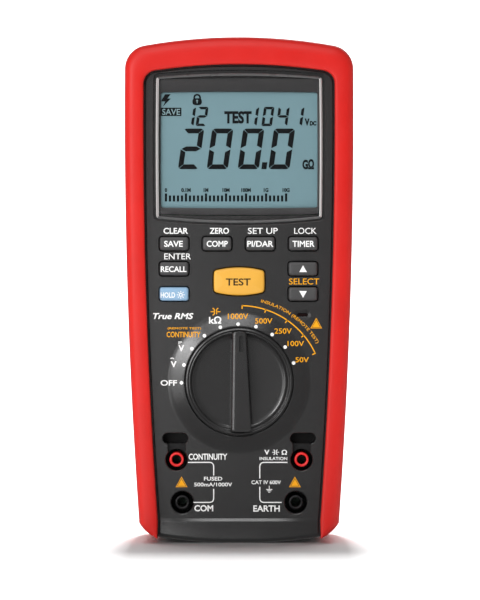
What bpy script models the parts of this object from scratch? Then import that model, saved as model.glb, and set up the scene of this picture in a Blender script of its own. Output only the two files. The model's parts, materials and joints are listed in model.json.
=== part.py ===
"""A handheld insulation resistance tester in a rubber holster, one object for each piece.

Lengths are in millimetres and are scaled to metres when a mesh is made. The front faces -Y,
+X is to the right seen from the front, +Z is up, and the origin is under the middle of the
bottom end. Outlines are drawn in the XZ plane as (point, inward normal) pairs.
"""

import math

import bmesh
import bpy
from mathutils import Vector

MM = 0.001
GAP = 0.3
PAST = 2.0

# Overall envelope
HEIGHT = 225.0
FRONT_Y = -29.5
BACK_Y = 29.5

# Long, slightly bowed sides shared by the case and the holster
HALF_WIDTH = 51.0
SIDE_RADIUS = 2450.0
WIDEST_Z = 190.0
TOP_RADIUS = 238.0
TOP_CORNER = 10.5

# Case, which sits this far inside the holster
HOLSTER_WALL = 3.7
CASE_WALL = 2.6
BOTTOM_RADIUS = 240.0
BOTTOM_FLAT = 8.0
FOOT_CORNER = 7.5
FACE_Y = -24.0
FACE_INNER_Y = -21.2
REAR_Y = 25.0
RIM_Y = 0.6

# Opening of the holster, and the wings that wrap under its bottom corners
LIP = 8.4
OPENING_TOP_Z = 212.8
OPENING_TOP_RADIUS = 255.0
OPENING_CORNER = 6.0
WING_X = 36.3
WING_Z = 2.0
WING_TOP_Z = 8.9
WING_BULGE = 0.95
OPENING_WING_Z = 2.4
WING_STEPS = 4
RIM_STEPS = (4, 4, 4)

# The front of the bottom end leans back below this height
RIDGE_Z = 10.0
LEAN_SLOPE = 0.6
LEAN_FROM_Y = -8.0

# Display
RECESS = {"half_width": 38.2, "bottom_z": 141.5, "bottom_radius": 333.0,
          "top_z": 210.2, "top_radius": 430.0, "corner": 2.6}
RECESS_FLOOR_Y = -22.3
LENS = {"half_width": 36.6, "bottom_z": 142.9, "bottom_radius": 330.0,
        "top_z": 209.0, "top_radius": 425.0, "corner": 1.6}
LENS_THICK = 1.0
WINDOW = {"half_width": 36.0, "bottom_z": 145.6, "top_z": 207.0, "corner": 1.8}
MASK_HOLE = {"half_width": 34.95, "bottom_z": 148.9, "top_z": 200.7, "corner": 0.9}

# Keys: name, centre x, centre z
SMALL_KEYS = (
    ("save", -28.9, 133.05),
    ("comp", -9.8, 133.05),
    ("pi_dar", 9.4, 133.05),
    ("timer", 28.5, 133.05),
    ("recall", -28.9, 121.9),
    ("up", 28.4, 121.9),
    ("hold", -28.9, 110.7),
    ("down", 28.4, 110.7),
)
KEY_SIZE = (12.8, 6.0)
KEY_CORNER = 1.2
TEST_CENTRE = (0.0, 116.3)
TEST_SIZE = (22.6, 12.4)
TEST_RADIUS = 42.0
TEST_SIDE_RADIUS = 60.0
TEST_CORNER = 1.5
KEY_TOP_Y = -25.6
KEY_SLIT = 0.4
KEY_FLANGE = 0.9

# Selector knob
KNOB_Z = 71.7
KNOB_RADIUS = 23.9
WELL_RADIUS = 24.3
WELL_FLOOR_Y = -21.7
BOSS_RADIUS = 26.5
BOSS_Y = -19.4
SHAFT_RADIUS = 7.4
ROTOR_RADIUS = 19.5
GRIP_LENGTH = 43.4
GRIP_TOP_WIDTH = 4.6
GRIP_BOTTOM_WIDTH = 8.3

# Terminals: x, z of the right-hand pair
UPPER_JACK = (27.8, 37.0)
LOWER_JACK = (25.25, 18.0)
JACK_WELL = 4.9
JACK_WELL_FLOOR_Y = -5.0
JACK_TUBE = 3.2
JACK_BORE = 2.15
CONTACT_OUTER = 2.55
CONTACT_BORE = 2.05
PORT_X = (22.8, 34.0)
PORT_Z = (44.0, 48.8)
PORT_NECK = 3.8
PORT_FLOOR_Y = -12.0

# Warning lamp slot
LAMP_CENTRE = (28.2, 101.4)
LAMP_SIZE = (4.8, 1.6)

# Fasteners: x, z of the right-hand one of each pair
CASE_SCREWS = (("upper", 39.6, 196.0), ("lower", 37.8, 56.0))
POST_RADIUS = 3.3
SCREW_HEAD = 2.6
SCREW_SHANK = 1.2
BOARD_SCREW = (34.0, 97.5)

# Boards
BOARD_Y = (-15.0, -13.4)
BOARD_BACK = BOARD_Y[1] + GAP
INPUT_BOARD_Y = (-2.5, -0.9)

# Battery bay and door
BAY_X = 31.7
BAY_Z = (35.9, 99.1)
BAY_FLOOR_Y = 7.0
BAY_WALL = 2.0
DOOR_X = 32.9
DOOR_Z = (34.7, 100.3)
DOOR_INNER_Y = 22.6
DOOR_SCREW = (27.5, 40.8)
CELL_RADIUS = 7.2
CELL_LENGTH = 50.5
CELL_PITCH = 14.7
CELL_Z = 46.8
CELL_Y = 14.6
FUSE_Z = 41.2
FUSE_Y = 13.0
FUSE_RADIUS = 3.2
FUSE_LENGTH = 32.0

# Tilt stand
STAND_X = 28.4
STAND_Z = (106.6, 185.2)
HINGE_Y = 23.3
HINGE_Z = 186.0
BARREL_RADIUS = 2.0
PIN_RADIUS = 1.2
STAND_POCKET_Y = 21.0


# ---------------------------------------------------------------- scene, materials, objects


def clear_scene():
    for obj in list(bpy.data.objects):
        bpy.data.objects.remove(obj, do_unlink=True)


def material(name, colour, roughness, metallic=0.0, alpha=1.0):
    found = bpy.data.materials.get(name)
    if found:
        return found
    made = bpy.data.materials.new(name)
    made.use_nodes = True
    shader = made.node_tree.nodes["Principled BSDF"]
    shader.inputs["Base Color"].default_value = (*colour, 1.0)
    shader.inputs["Roughness"].default_value = roughness
    shader.inputs["Metallic"].default_value = metallic
    shader.inputs["Alpha"].default_value = alpha
    return made


def red_rubber():
    return material("red_rubber", (0.76, 0.035, 0.025), 0.55)


def case_plastic():
    return material("case_plastic", (0.055, 0.053, 0.054), 0.5)


def key_rubber():
    return material("key_rubber", (0.085, 0.085, 0.085), 0.5)


def amber_key():
    return material("amber_key", (0.95, 0.53, 0.07), 0.45)


def blue_key():
    return material("blue_key", (0.30, 0.50, 0.83), 0.45)


def clear_lens():
    return material("clear_lens", (0.8, 0.85, 0.86), 0.05, alpha=0.35)


def lcd_glass():
    return material("lcd_glass", (0.20, 0.32, 0.35), 0.15)


def black_plastic():
    return material("black_plastic", (0.02, 0.02, 0.02), 0.4)


def red_plastic():
    return material("red_plastic", (0.6, 0.02, 0.02), 0.35)


def white_plastic():
    return material("white_plastic", (0.75, 0.75, 0.72), 0.4)


def board_green():
    return material("board_green", (0.02, 0.16, 0.06), 0.45)


def steel():
    return material("steel", (0.55, 0.55, 0.56), 0.3, 1.0)


def brass():
    return material("brass", (0.75, 0.55, 0.22), 0.3, 1.0)


def copper_winding():
    return material("copper_winding", (0.72, 0.33, 0.12), 0.35, 1.0)


def ferrite():
    return material("ferrite", (0.03, 0.03, 0.035), 0.6)


def cell_wrap():
    return material("cell_wrap", (0.08, 0.10, 0.16), 0.3)


def seal_rubber():
    return material("seal_rubber", (0.015, 0.015, 0.015), 0.7)


def fuse_glass():
    return material("fuse_glass", (0.82, 0.80, 0.74), 0.3)


def empty(name, location=(0.0, 0.0, 0.0), parent=None):
    made = bpy.data.objects.new(name, None)
    made.location = Vector(location) * MM
    made.empty_display_size = 5 * MM
    bpy.context.scene.collection.objects.link(made)
    made.parent = parent
    return made


def new_object(name, bm, skin, location=(0.0, 0.0, 0.0), parent=None, rotation=(0.0, 0.0, 0.0)):
    """Turns a mesh drawn in millimetres about its own origin into a placed object."""
    bmesh.ops.recalc_face_normals(bm, faces=bm.faces)
    bmesh.ops.scale(bm, vec=(MM, MM, MM), verts=bm.verts)
    mesh = bpy.data.meshes.new(name)
    bm.to_mesh(mesh)
    bm.free()
    if skin:
        mesh.materials.append(skin)
    mesh.shade_smooth()
    mesh.set_sharp_from_angle(angle=math.radians(32))
    return place_mesh(name, mesh, location, parent, rotation)


def place_mesh(name, mesh, location, parent=None, rotation=(0.0, 0.0, 0.0)):
    made = bpy.data.objects.new(name, mesh)
    made.location = Vector(location) * MM
    made.rotation_euler = rotation
    bpy.context.scene.collection.objects.link(made)
    made.parent = parent
    return made


def helper(name, bm, location=(0.0, 0.0, 0.0), rotation=(0.0, 0.0, 0.0)):
    """A solid that only takes part in a Boolean."""
    made = new_object(name, bm, None, location, None, rotation)
    made.hide_render = True
    made.display_type = "WIRE"
    return made


def boolean(target, tool, operation):
    modifier = target.modifiers.new(f"{operation.lower()}_{tool.name}", "BOOLEAN")
    modifier.operation = operation
    modifier.solver = "EXACT"
    modifier.object = tool


def cut(target, *tools):
    for tool in tools:
        boolean(target, tool, "DIFFERENCE")


def join(target, *tools):
    for tool in tools:
        boolean(target, tool, "UNION")


# ---------------------------------------------------------------- outlines


def fillet_centre(first, second, radius, upper):
    """Centre of the corner circle that touches two larger circles from inside, on the +X side."""
    (c1, r1), (c2, r2) = first, second
    reach1 = r1 - radius
    reach2 = r2 - radius
    between = c2 - c1
    distance = between.length
    along = (reach1**2 - reach2**2 + distance**2) / (2 * distance)
    across = math.sqrt(reach1**2 - along**2)
    unit = between / distance
    normal = Vector((-unit.y, unit.x))
    ends = [c1 + unit * along + normal * across * sign for sign in (1, -1)]
    ends.sort(key=lambda point: point.y)
    return ends[1] if upper else ends[0]


def touching_arcs(circles, start, end, steps):
    """Arcs of circles that touch inside one another, as (point, inward normal) pairs."""
    angles = [start]
    for (c1, r1), (c2, r2) in zip(circles, circles[1:]):
        towards = c2 - c1 if r2 < r1 else c1 - c2
        angles.append(math.atan2(towards.y, towards.x))
    angles.append(end)
    points = []
    for index, (centre, radius) in enumerate(circles):
        last = index == len(circles) - 1
        for step in range(steps[index] + last):
            share = step / steps[index]
            angle = angles[index] * (1 - share) + angles[index + 1] * share
            away = Vector((math.cos(angle), math.sin(angle)))
            points.append((centre + away * radius, -away))
    return points


def both_sides(right):
    """The right half followed by its mirror image, back down the left."""
    left = [(Vector((-p.x, p.y)), Vector((-n.x, n.y))) for p, n in reversed(right)]
    return right + left[1:]


def side_circle(inset=0.0, half_width=HALF_WIDTH, radius=SIDE_RADIUS, level=WIDEST_Z):
    return (Vector((half_width - radius, level)), radius - inset)


def case_circles(outset=0.0):
    """Circles of the case's bottom, foot, side, shoulder and top, this far outside the case."""
    sag = BOTTOM_RADIUS - math.sqrt(BOTTOM_RADIUS**2 - BOTTOM_FLAT**2)
    bottom = (Vector((0.0, BOTTOM_RADIUS - sag)), BOTTOM_RADIUS + outset)
    side = side_circle(HOLSTER_WALL - outset)
    top = (Vector((0.0, HEIGHT - TOP_RADIUS)), TOP_RADIUS - HOLSTER_WALL + outset)
    foot = (fillet_centre(bottom, side, FOOT_CORNER + outset, False), FOOT_CORNER + outset)
    shoulder_radius = TOP_CORNER - HOLSTER_WALL + outset
    shoulder = (fillet_centre(side, top, shoulder_radius, True), shoulder_radius)
    return bottom, foot, side, shoulder, top


def case_outline(inset=0.0):
    """Closed outline of the case, with a short flat at the middle of its bottom arc."""
    start = -math.pi / 2 + math.asin(BOTTOM_FLAT / BOTTOM_RADIUS)
    right = touching_arcs(case_circles(), start, math.pi / 2, (3, 3) + RIM_STEPS)
    return [(p + n * inset, n) for p, n in both_sides(right)]


def bowed_outline(half_width, bottom_z, top_z, corner, bottom_radius=2000.0, top_radius=2000.0,
                  side_radius=2000.0, steps=(1, 2, 1, 2, 1)):
    """Closed rounded rectangle whose sides may bulge."""
    middle = (bottom_z + top_z) / 2
    bottom = (Vector((0.0, bottom_z + bottom_radius)), bottom_radius)
    top = (Vector((0.0, top_z - top_radius)), top_radius)
    side = side_circle(0.0, half_width, side_radius, middle)
    low = (fillet_centre(bottom, side, corner, False), corner)
    high = (fillet_centre(side, top, corner, True), corner)
    circles = (bottom, low, side, high, top)
    right = touching_arcs(circles, -math.pi / 2, math.pi / 2, steps)
    return both_sides(right)[:-1]


def flat_points(outline, inset=0.0):
    return [p + n * inset for p, n in outline]


def circle_points(radius, x, z, segments=20):
    turn = 2 * math.pi / segments
    return [Vector((x + radius * math.cos(turn * i), z + radius * math.sin(turn * i)))
            for i in range(segments)]


def box_points(x0, x1, z0, z1):
    return [Vector(p) for p in ((x0, z0), (x1, z0), (x1, z1), (x0, z1))]


# ---------------------------------------------------------------- solids


def bridge(bm, lower, upper, closed=True):
    """Faces between two rows of vertices. A row of one vertex is a point on the axis."""
    count = max(len(lower), len(upper))
    for i in range(count if closed else count - 1):
        j = (i + 1) % count
        corners = []
        for row, order in ((lower, (i, j)), (upper, (j, i))):
            picked = [row[k] for k in order] if len(row) > 1 else [row[0]]
            corners.extend(picked)
        bm.faces.new(corners)


def loft(bm, rings):
    """A solid through closed rings, capped at both ends."""
    rows = [[bm.verts.new(point) for point in ring] for ring in rings]
    for lower, upper in zip(rows, rows[1:]):
        bridge(bm, lower, upper)
    bm.faces.new(rows[0])
    bm.faces.new(rows[-1])


def ring_at(points, y):
    return [Vector((p.x, y, p.y)) for p in points]


def prism(bm, points, y0, y1):
    """Extrudes an XZ outline along Y."""
    loft(bm, (ring_at(points, y0), ring_at(points, y1)))


def box(bm, x, y, z):
    prism(bm, box_points(x[0], x[1], z[0], z[1]), y[0], y[1])


def turned(bm, profile, segments, x=0.0, z=0.0):
    """A solid of revolution about a Y axis through (x, z), from (radius, y) pairs."""
    rows = []
    for radius, y in profile:
        points = circle_points(radius, x, z, segments) if radius else [Vector((x, z))]
        rows.append([bm.verts.new(p) for p in ring_at(points, y)])
    pairs = list(zip(rows, rows[1:]))
    if len(rows[0]) > 1:
        pairs.append((rows[-1], rows[0]))
    for lower, upper in pairs:
        bridge(bm, lower, upper)


def rod(bm, radius, y0, y1, x=0.0, z=0.0, segments=16):
    turned(bm, ((0, y0), (radius, y0), (radius, y1), (0, y1)), segments, x, z)


def lean_front(bm):
    """Splits the mesh at the ridge and leans everything in front of the middle back below it."""
    bmesh.ops.bisect_plane(bm, geom=bm.verts[:] + bm.edges[:] + bm.faces[:], dist=1e-5,
                           plane_co=(0, 0, RIDGE_Z), plane_no=(0, 0, 1))
    for vert in bm.verts:
        drop = max(0.0, RIDGE_Z - vert.co.z) * LEAN_SLOPE
        share = (LEAN_FROM_Y - vert.co.y) / (LEAN_FROM_Y - FACE_Y)
        vert.co.y += drop * min(1.0, max(0.0, share))


def mirrored_pairs(places):
    """(side name, x, z) on the left and on the right of each (x, z)."""
    return [(side, sign * x, z) for x, z in places for side, sign in (("left", -1), ("right", 1))]


# ---------------------------------------------------------------- holster


def holster_outer():
    """Open outline of the holster from one wing tip over the top to the other."""
    side = side_circle()
    top = (Vector((0.0, HEIGHT - TOP_RADIUS)), TOP_RADIUS)
    shoulder = (fillet_centre(side, top, TOP_CORNER, True), TOP_CORNER)
    start = math.asin((WING_TOP_Z - WIDEST_Z) / SIDE_RADIUS)
    rest = touching_arcs((side, shoulder, top), start, math.pi / 2, RIM_STEPS)
    tip = Vector((WING_X, WING_Z))
    chord = rest[0][0] - tip
    away = Vector((chord.y, -chord.x)).normalized()
    wing = []
    for step in range(WING_STEPS):
        share = step / WING_STEPS
        bulge = 4 * WING_BULGE * share * (1 - share)
        wing.append((tip + chord * share + away * bulge, -away))
    return both_sides(wing + rest)


def holster_opening():
    """Open outline of the edge round the visible front and back of the case."""
    side = side_circle(LIP)
    top = (Vector((0.0, OPENING_TOP_Z - OPENING_TOP_RADIUS)), OPENING_TOP_RADIUS)
    shoulder = (fillet_centre(side, top, OPENING_CORNER, True), OPENING_CORNER)
    start = math.asin((WING_TOP_Z - WIDEST_Z) / SIDE_RADIUS)
    rest = touching_arcs((side, shoulder, top), start, math.pi / 2, RIM_STEPS)
    tip = Vector((WING_X, OPENING_WING_Z))
    wing = [(tip.lerp(rest[0][0], step / WING_STEPS), Vector((-1.0, 0.0)))
            for step in range(WING_STEPS)]
    return both_sides(wing + rest)


def holster_lining():
    """Open outline that hugs the case, a gap outside it."""
    circles = case_circles(GAP)[1:]
    foot_centre, foot_radius = circles[0]
    start = -math.acos((WING_X - foot_centre.x) / foot_radius)
    return both_sides(touching_arcs(circles, start, math.pi / 2, (WING_STEPS,) + RIM_STEPS))


def eased(outline, inset, y):
    """A ring whose inset fades to nothing along the wings, so that they end thin."""
    last = len(outline) - 1
    ring = []
    for index, (p, n) in enumerate(outline):
        share = min(1.0, index / WING_STEPS, (last - index) / WING_STEPS)
        point = p + n * inset * share
        ring.append(Vector((point.x, y, point.y)))
    return ring


def make_holster(root):
    outer = holster_outer()
    opening = holster_opening()
    lining = holster_lining()
    back = BACK_Y
    rings = (
        eased(outer, 0.0, -20.5),
        eased(outer, 0.7, -24.6),
        eased(outer, 2.4, -27.2),
        eased(outer, 4.4, -28.0),
        eased(opening, -1.0, -27.7),
        eased(opening, 0.0, -26.7),
        eased(opening, 0.0, FACE_Y - GAP),
        eased(lining, 2.6, FACE_Y - GAP),
        eased(lining, 0.8, -23.3),
        eased(lining, 0.0, -20.2),
        eased(lining, 0.0, 19.5),
        eased(lining, 1.2, 23.8),
        eased(lining, 3.2, REAR_Y + GAP),
        eased(opening, 0.0, REAR_Y + GAP),
        eased(opening, 0.0, back - 0.8),
        eased(opening, -0.8, back),
        eased(outer, 4.0, back),
        eased(outer, 1.2, back - 1.5),
        eased(outer, 0.0, back - 5.0),
    )
    bm = bmesh.new()
    rows = [[bm.verts.new(point) for point in ring] for ring in rings]
    for lower, upper in zip(rows, rows[1:] + rows[:1]):
        bridge(bm, lower, upper, closed=False)
    bm.faces.new([row[0] for row in rows])
    bm.faces.new([row[-1] for row in rows])
    lean_front(bm)
    new_object("holster", bm, red_rubber(), parent=root)


# ---------------------------------------------------------------- terminal openings


def arc_points(radius, x, z, start, end, steps):
    """Points on a circle about (x, z), with angles in degrees."""
    angles = [math.radians(start + (end - start) * i / steps) for i in range(steps + 1)]
    return [Vector((x + radius * math.cos(a), z + radius * math.sin(a))) for a in angles]


def port_points(sign, with_well):
    """A remote probe port: a round-ended slot, and its neck that runs down into the terminal."""
    radius = (PORT_Z[1] - PORT_Z[0]) / 2
    middle = (PORT_Z[0] + PORT_Z[1]) / 2
    x, z = UPPER_JACK
    if with_well:
        open_at = math.degrees(math.acos(PORT_NECK / JACK_WELL))
        points = arc_points(JACK_WELL, x, z, 180 - open_at, 360 + open_at, 14)
    else:
        points = [Vector((x - PORT_NECK, z + 1.5)), Vector((x + PORT_NECK, z + 1.5))]
    points.append(Vector((x + PORT_NECK, PORT_Z[0])))
    points += arc_points(radius, PORT_X[1] - radius, middle, -90, 90, 6)
    points += arc_points(radius, PORT_X[0] + radius, middle, 90, 270, 6)
    points.append(Vector((x - PORT_NECK, PORT_Z[0])))
    return [Vector((sign * p.x, p.y)) for p in points]


# ---------------------------------------------------------------- shells


def shell(sections):
    """An open tray from (inset, y) sections that run from the inside over the rim to the outside."""
    bm = bmesh.new()
    outline = case_outline()
    loft(bm, [ring_at(flat_points(outline, inset), y) for inset, y in sections])
    return bm


def key_outline(extra=0.0):
    """Outline of a small key about its own centre."""
    half_width = KEY_SIZE[0] / 2 + extra
    half_height = KEY_SIZE[1] / 2 + extra
    return bowed_outline(half_width, -half_height, half_height, max(0.4, KEY_CORNER + extra))


def test_outline(extra=0.0):
    half_width = TEST_SIZE[0] / 2 + extra
    half_height = TEST_SIZE[1] / 2 + extra
    return bowed_outline(half_width, -half_height, half_height, max(0.4, TEST_CORNER + extra),
                         TEST_RADIUS, TEST_RADIUS, TEST_SIDE_RADIUS, (3, 2, 2, 2, 3))


def moved(points, x, z):
    return [p + Vector((x, z)) for p in points]


def front_additions():
    """Screw posts, and the dial collar with the boss that closes the knob's well."""
    bm = bmesh.new()
    for _, x, z in mirrored_pairs([place[1:] for place in CASE_SCREWS]):
        rod(bm, POST_RADIUS, FACE_INNER_Y - 1.0, -RIM_Y - GAP, x, z, 10)
    for _, x, z in mirrored_pairs([BOARD_SCREW]):
        rod(bm, 2.2, FACE_INNER_Y - 1.0, BOARD_Y[0] - GAP, x, z, 10)
    collar = ((0, -25.0), (27.4, -25.0), (32.2, -23.2), (31.6, -22.2), (BOSS_RADIUS, -22.2),
              (BOSS_RADIUS, BOSS_Y), (0, BOSS_Y))
    turned(bm, collar, 36, 0.0, KNOB_Z)
    return helper("added_to_front", bm)


def front_openings():
    """Everything cut from the face, and the blind pilot holes of the posts."""
    bm = bmesh.new()
    past = FACE_Y - PAST
    inside = FACE_INNER_Y + PAST
    steps = (4, 3, 1, 3, 4)
    recess = flat_points(bowed_outline(**RECESS, steps=steps))
    window = flat_points(bowed_outline(**WINDOW, steps=steps))
    loft(bm, (ring_at(recess, past), ring_at(recess, RECESS_FLOOR_Y),
              ring_at(window, RECESS_FLOOR_Y), ring_at(window, inside)))
    steps = (1, 3, 1, 3, 1)
    surround = moved(flat_points(bowed_outline(3.7, -1.8, 1.8, 1.7, steps=steps)), *LAMP_CENTRE)
    half_width, half_height = LAMP_SIZE[0] / 2, LAMP_SIZE[1] / 2
    slot = bowed_outline(half_width, -half_height, half_height, 0.7, steps=steps)
    slot = moved(flat_points(slot), *LAMP_CENTRE)
    loft(bm, (ring_at(surround, past), ring_at(surround, FACE_Y + 0.4),
              ring_at(slot, FACE_Y + 0.4), ring_at(slot, inside)))
    hole = SHAFT_RADIUS + 0.6
    turned(bm, ((0, FRONT_Y), (WELL_RADIUS, FRONT_Y), (WELL_RADIUS, WELL_FLOOR_Y),
                (hole, WELL_FLOOR_Y), (hole, BOSS_Y + PAST), (0, BOSS_Y + PAST)), 40, 0.0, KNOB_Z)
    for _, x, z in SMALL_KEYS:
        prism(bm, moved(flat_points(key_outline(KEY_SLIT)), x, z), past, inside)
    prism(bm, moved(flat_points(test_outline(KEY_SLIT)), *TEST_CENTRE), past, inside)
    for _, x, z in mirrored_pairs([place[1:] for place in CASE_SCREWS]):
        rod(bm, SCREW_SHANK + GAP, -13.0, PAST, x, z, 8)
    for _, x, z in mirrored_pairs([BOARD_SCREW]):
        rod(bm, 1.2, -20.4, BOARD_Y[1], x, z, 8)
    for sign in (-1, 1):
        prism(bm, port_points(sign, True), past, inside)
        rod(bm, JACK_WELL, past, inside, sign * LOWER_JACK[0], LOWER_JACK[1], 18)
    return helper("cutter_front", bm)


def make_front_case(root):
    bm = shell(((4.6, FACE_INNER_Y), (CASE_WALL, -19.6), (CASE_WALL, -RIM_Y), (0.0, -RIM_Y),
                (0.0, -20.2), (0.9, -23.1), (2.6, FACE_Y)))
    lean_front(bm)
    case = new_object("front_case", bm, case_plastic(), parent=root)
    join(case, front_additions())
    cut(case, front_openings())


def rear_additions():
    bm = bmesh.new()
    for _, x, z in mirrored_pairs([place[1:] for place in CASE_SCREWS]):
        rod(bm, POST_RADIUS, RIM_Y + GAP, REAR_Y - 1.0, x, z, 10)
    bay = (BAY_X + BAY_WALL, BAY_Z[0] - BAY_WALL, BAY_Z[1] + BAY_WALL)
    box(bm, (-bay[0], bay[0]), (BAY_FLOOR_Y - BAY_WALL, REAR_Y - 1.0), bay[1:])
    box(bm, (-31.0, 31.0), (STAND_POCKET_Y - 2.2, REAR_Y - 1.2), (104.0, 190.6))
    return helper("added_to_rear", bm)


def rear_pockets():
    """Battery bay with the seat of its door, the stand's pocket, and the screw wells."""
    bm = bmesh.new()
    edge = 0.35
    seat_y = DOOR_INNER_Y - GAP
    bay = box_points(-BAY_X, BAY_X, *BAY_Z)
    seat = box_points(-DOOR_X - edge, DOOR_X + edge, DOOR_Z[0] - edge, DOOR_Z[1] + edge)
    loft(bm, (ring_at(bay, BAY_FLOOR_Y), ring_at(bay, seat_y), ring_at(seat, seat_y),
              ring_at(seat, REAR_Y + PAST)))
    side = STAND_X + 0.5
    box(bm, (-side, side), (STAND_POCKET_Y, REAR_Y + PAST), (106.1, 188.4))
    for _, x, z in mirrored_pairs([place[1:] for place in CASE_SCREWS]):
        turned(bm, ((0, -PAST), (SCREW_SHANK + GAP, -PAST), (SCREW_SHANK + GAP, 14.0),
                    (SCREW_HEAD + GAP, 14.0), (SCREW_HEAD + GAP, REAR_Y + PAST),
                    (0, REAR_Y + PAST)), 10, x, z)
    return helper("cutter_pockets", bm)


def door_posts():
    bm = bmesh.new()
    for _, x, z in mirrored_pairs([DOOR_SCREW]):
        rod(bm, 3.0, BAY_FLOOR_Y - 1.0, DOOR_INNER_Y - 2 * GAP, x, z, 12)
    return helper("added_door_posts", bm)


def rear_holes():
    """Pilot holes of the door screws, and the finger scoop under the stand's free end."""
    bm = bmesh.new()
    for _, x, z in mirrored_pairs([DOOR_SCREW]):
        rod(bm, SCREW_SHANK + GAP, 11.0, REAR_Y, x, z, 8)
    scoop = bowed_outline(9.0, 102.4, 108.0, 2.4)
    prism(bm, flat_points(scoop), REAR_Y - 2.8, REAR_Y + PAST)
    return helper("cutter_rear_holes", bm)


def pin_seat():
    bm = bmesh.new()
    rod(bm, PIN_RADIUS + GAP, -31.6, 31.6, segments=12)
    return helper("cutter_pin_seat", bm, (0.0, HINGE_Y, HINGE_Z), (0.0, 0.0, -math.pi / 2))


def make_rear_case(root):
    bm = shell(((4.6, REAR_Y - 2.4), (CASE_WALL, 21.0), (CASE_WALL, RIM_Y), (0.0, RIM_Y),
                (0.0, 19.4), (1.2, 23.6), (3.4, REAR_Y)))
    case = new_object("rear_case", bm, case_plastic(), parent=root)
    join(case, rear_additions())
    cut(case, rear_pockets())
    join(case, door_posts())
    cut(case, rear_holes(), pin_seat())


def make_case_seal(root):
    bm = bmesh.new()
    outline = case_outline()
    inner = CASE_WALL - 0.5
    sections = ((0.5, -GAP), (inner, -GAP), (inner, GAP), (0.5, GAP))
    rows = [[bm.verts.new(p) for p in ring_at(flat_points(outline, inset), y)]
            for inset, y in sections]
    for lower, upper in zip(rows, rows[1:] + rows[:1]):
        bridge(bm, lower, upper)
    new_object("case_seal", bm, seal_rubber(), parent=root)


# ---------------------------------------------------------------- fasteners


def screw_profile(shank_length, head_radius=SCREW_HEAD, shank_radius=SCREW_SHANK):
    """A pan head screw: the head stands on y = 0 and the shank runs to -Y."""
    return ((0, -shank_length), (shank_radius, 0.9 - shank_length), (shank_radius, 0.0),
            (head_radius, 0.0), (head_radius, 1.0), (head_radius * 0.6, 1.7), (0, 1.7))


def make_screws(root, names, places, y, profile):
    """Screws that share one mesh, one for each name and (x, z) place."""
    mesh = None
    for name, (x, z) in zip(names, places):
        if mesh is None:
            bm = bmesh.new()
            turned(bm, profile, 8)
            mesh = new_object(name, bm, steel(), (x, y, z), root).data
        else:
            place_mesh(name, mesh, (x, y, z), root)


def make_fasteners(root, door):
    names = []
    places = []
    for level, x, z in CASE_SCREWS:
        for side, at_x, at_z in mirrored_pairs([(x, z)]):
            names.append(f"case_screw_{level}_{side}")
            places.append((at_x, at_z))
    make_screws(root, names, places, 14.0 + GAP, screw_profile(26.0))
    sides = [(side, x, z) for side, x, z in mirrored_pairs([DOOR_SCREW])]
    make_screws(door, [f"battery_door_screw_{side}" for side, _, _ in sides],
                [(x, z) for _, x, z in sides], DOOR_INNER_Y + 0.9, screw_profile(11.0, 2.2))
    sides = [(side, x, z) for side, x, z in mirrored_pairs([BOARD_SCREW])]
    make_screws(root, [f"board_screw_{side}" for side, _, _ in sides],
                [(x, z) for _, x, z in sides], BOARD_BACK, screw_profile(6.8, 1.9, 0.9))


# ---------------------------------------------------------------- back of the tester


def make_battery_door(root):
    door = empty("battery_door_frame", parent=root)
    bm = bmesh.new()
    rings = []
    for inset, y in ((0.0, DOOR_INNER_Y), (0.0, REAR_Y - 0.7), (0.7, REAR_Y)):
        outline = bowed_outline(DOOR_X, DOOR_Z[0], DOOR_Z[1], 2.4)
        rings.append(ring_at(flat_points(outline, inset), y))
    loft(bm, rings)
    plate = new_object("battery_door", bm, case_plastic(), parent=door)
    bm = bmesh.new()
    for _, x, z in mirrored_pairs([DOOR_SCREW]):
        turned(bm, ((0, 20.0), (1.5, 20.0), (1.5, DOOR_INNER_Y + 0.6), (2.5, DOOR_INNER_Y + 0.6),
                    (2.5, REAR_Y + PAST), (0, REAR_Y + PAST)), 10, x, z)
    for row in range(4):
        level = 62.0 + 5.0 * row
        box(bm, (-9.0, 9.0), (REAR_Y - 0.7, REAR_Y + PAST), (level, level + 2.2))
    cut(plate, helper("cutter_door", bm))
    return door


def make_tilt_stand(root):
    axis = empty("tilt_stand_axis", (0.0, HINGE_Y, HINGE_Z), root)
    bm = bmesh.new()
    low, high = STAND_Z[0] - HINGE_Z, STAND_Z[1] - HINGE_Z
    front, back = 22.0 - HINGE_Y, REAR_Y - HINGE_Y
    rings = []
    for inset, y in ((0.0, front), (0.0, back - 0.6), (0.6, back)):
        outline = bowed_outline(STAND_X, low, high, 3.0)
        rings.append(ring_at(flat_points(outline, inset), y))
    loft(bm, rings)
    stand = new_object("tilt_stand", bm, case_plastic(), parent=axis)
    bm = bmesh.new()
    rod(bm, BARREL_RADIUS, -STAND_X, STAND_X, segments=16)
    barrel = helper("added_barrel", bm, (0.0, HINGE_Y, HINGE_Z), (0.0, 0.0, -math.pi / 2))
    join(stand, barrel)
    bm = bmesh.new()
    hollow = bowed_outline(STAND_X - 7.0, low + 13.0, high - 9.0, 5.0)
    prism(bm, flat_points(hollow), back - 1.2, back + PAST)
    panel = helper("cutter_stand_panel", bm, (0.0, HINGE_Y, HINGE_Z))
    bm = bmesh.new()
    rod(bm, PIN_RADIUS + GAP, -STAND_X - PAST, STAND_X + PAST, segments=12)
    bore = helper("cutter_stand_bore", bm, (0.0, HINGE_Y, HINGE_Z), (0.0, 0.0, -math.pi / 2))
    cut(stand, panel, bore)
    bm = bmesh.new()
    rod(bm, PIN_RADIUS, -31.2, 31.2, segments=12)
    new_object("stand_hinge_pin", bm, steel(), (0.0, HINGE_Y, HINGE_Z), root,
               (0.0, 0.0, -math.pi / 2))


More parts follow.
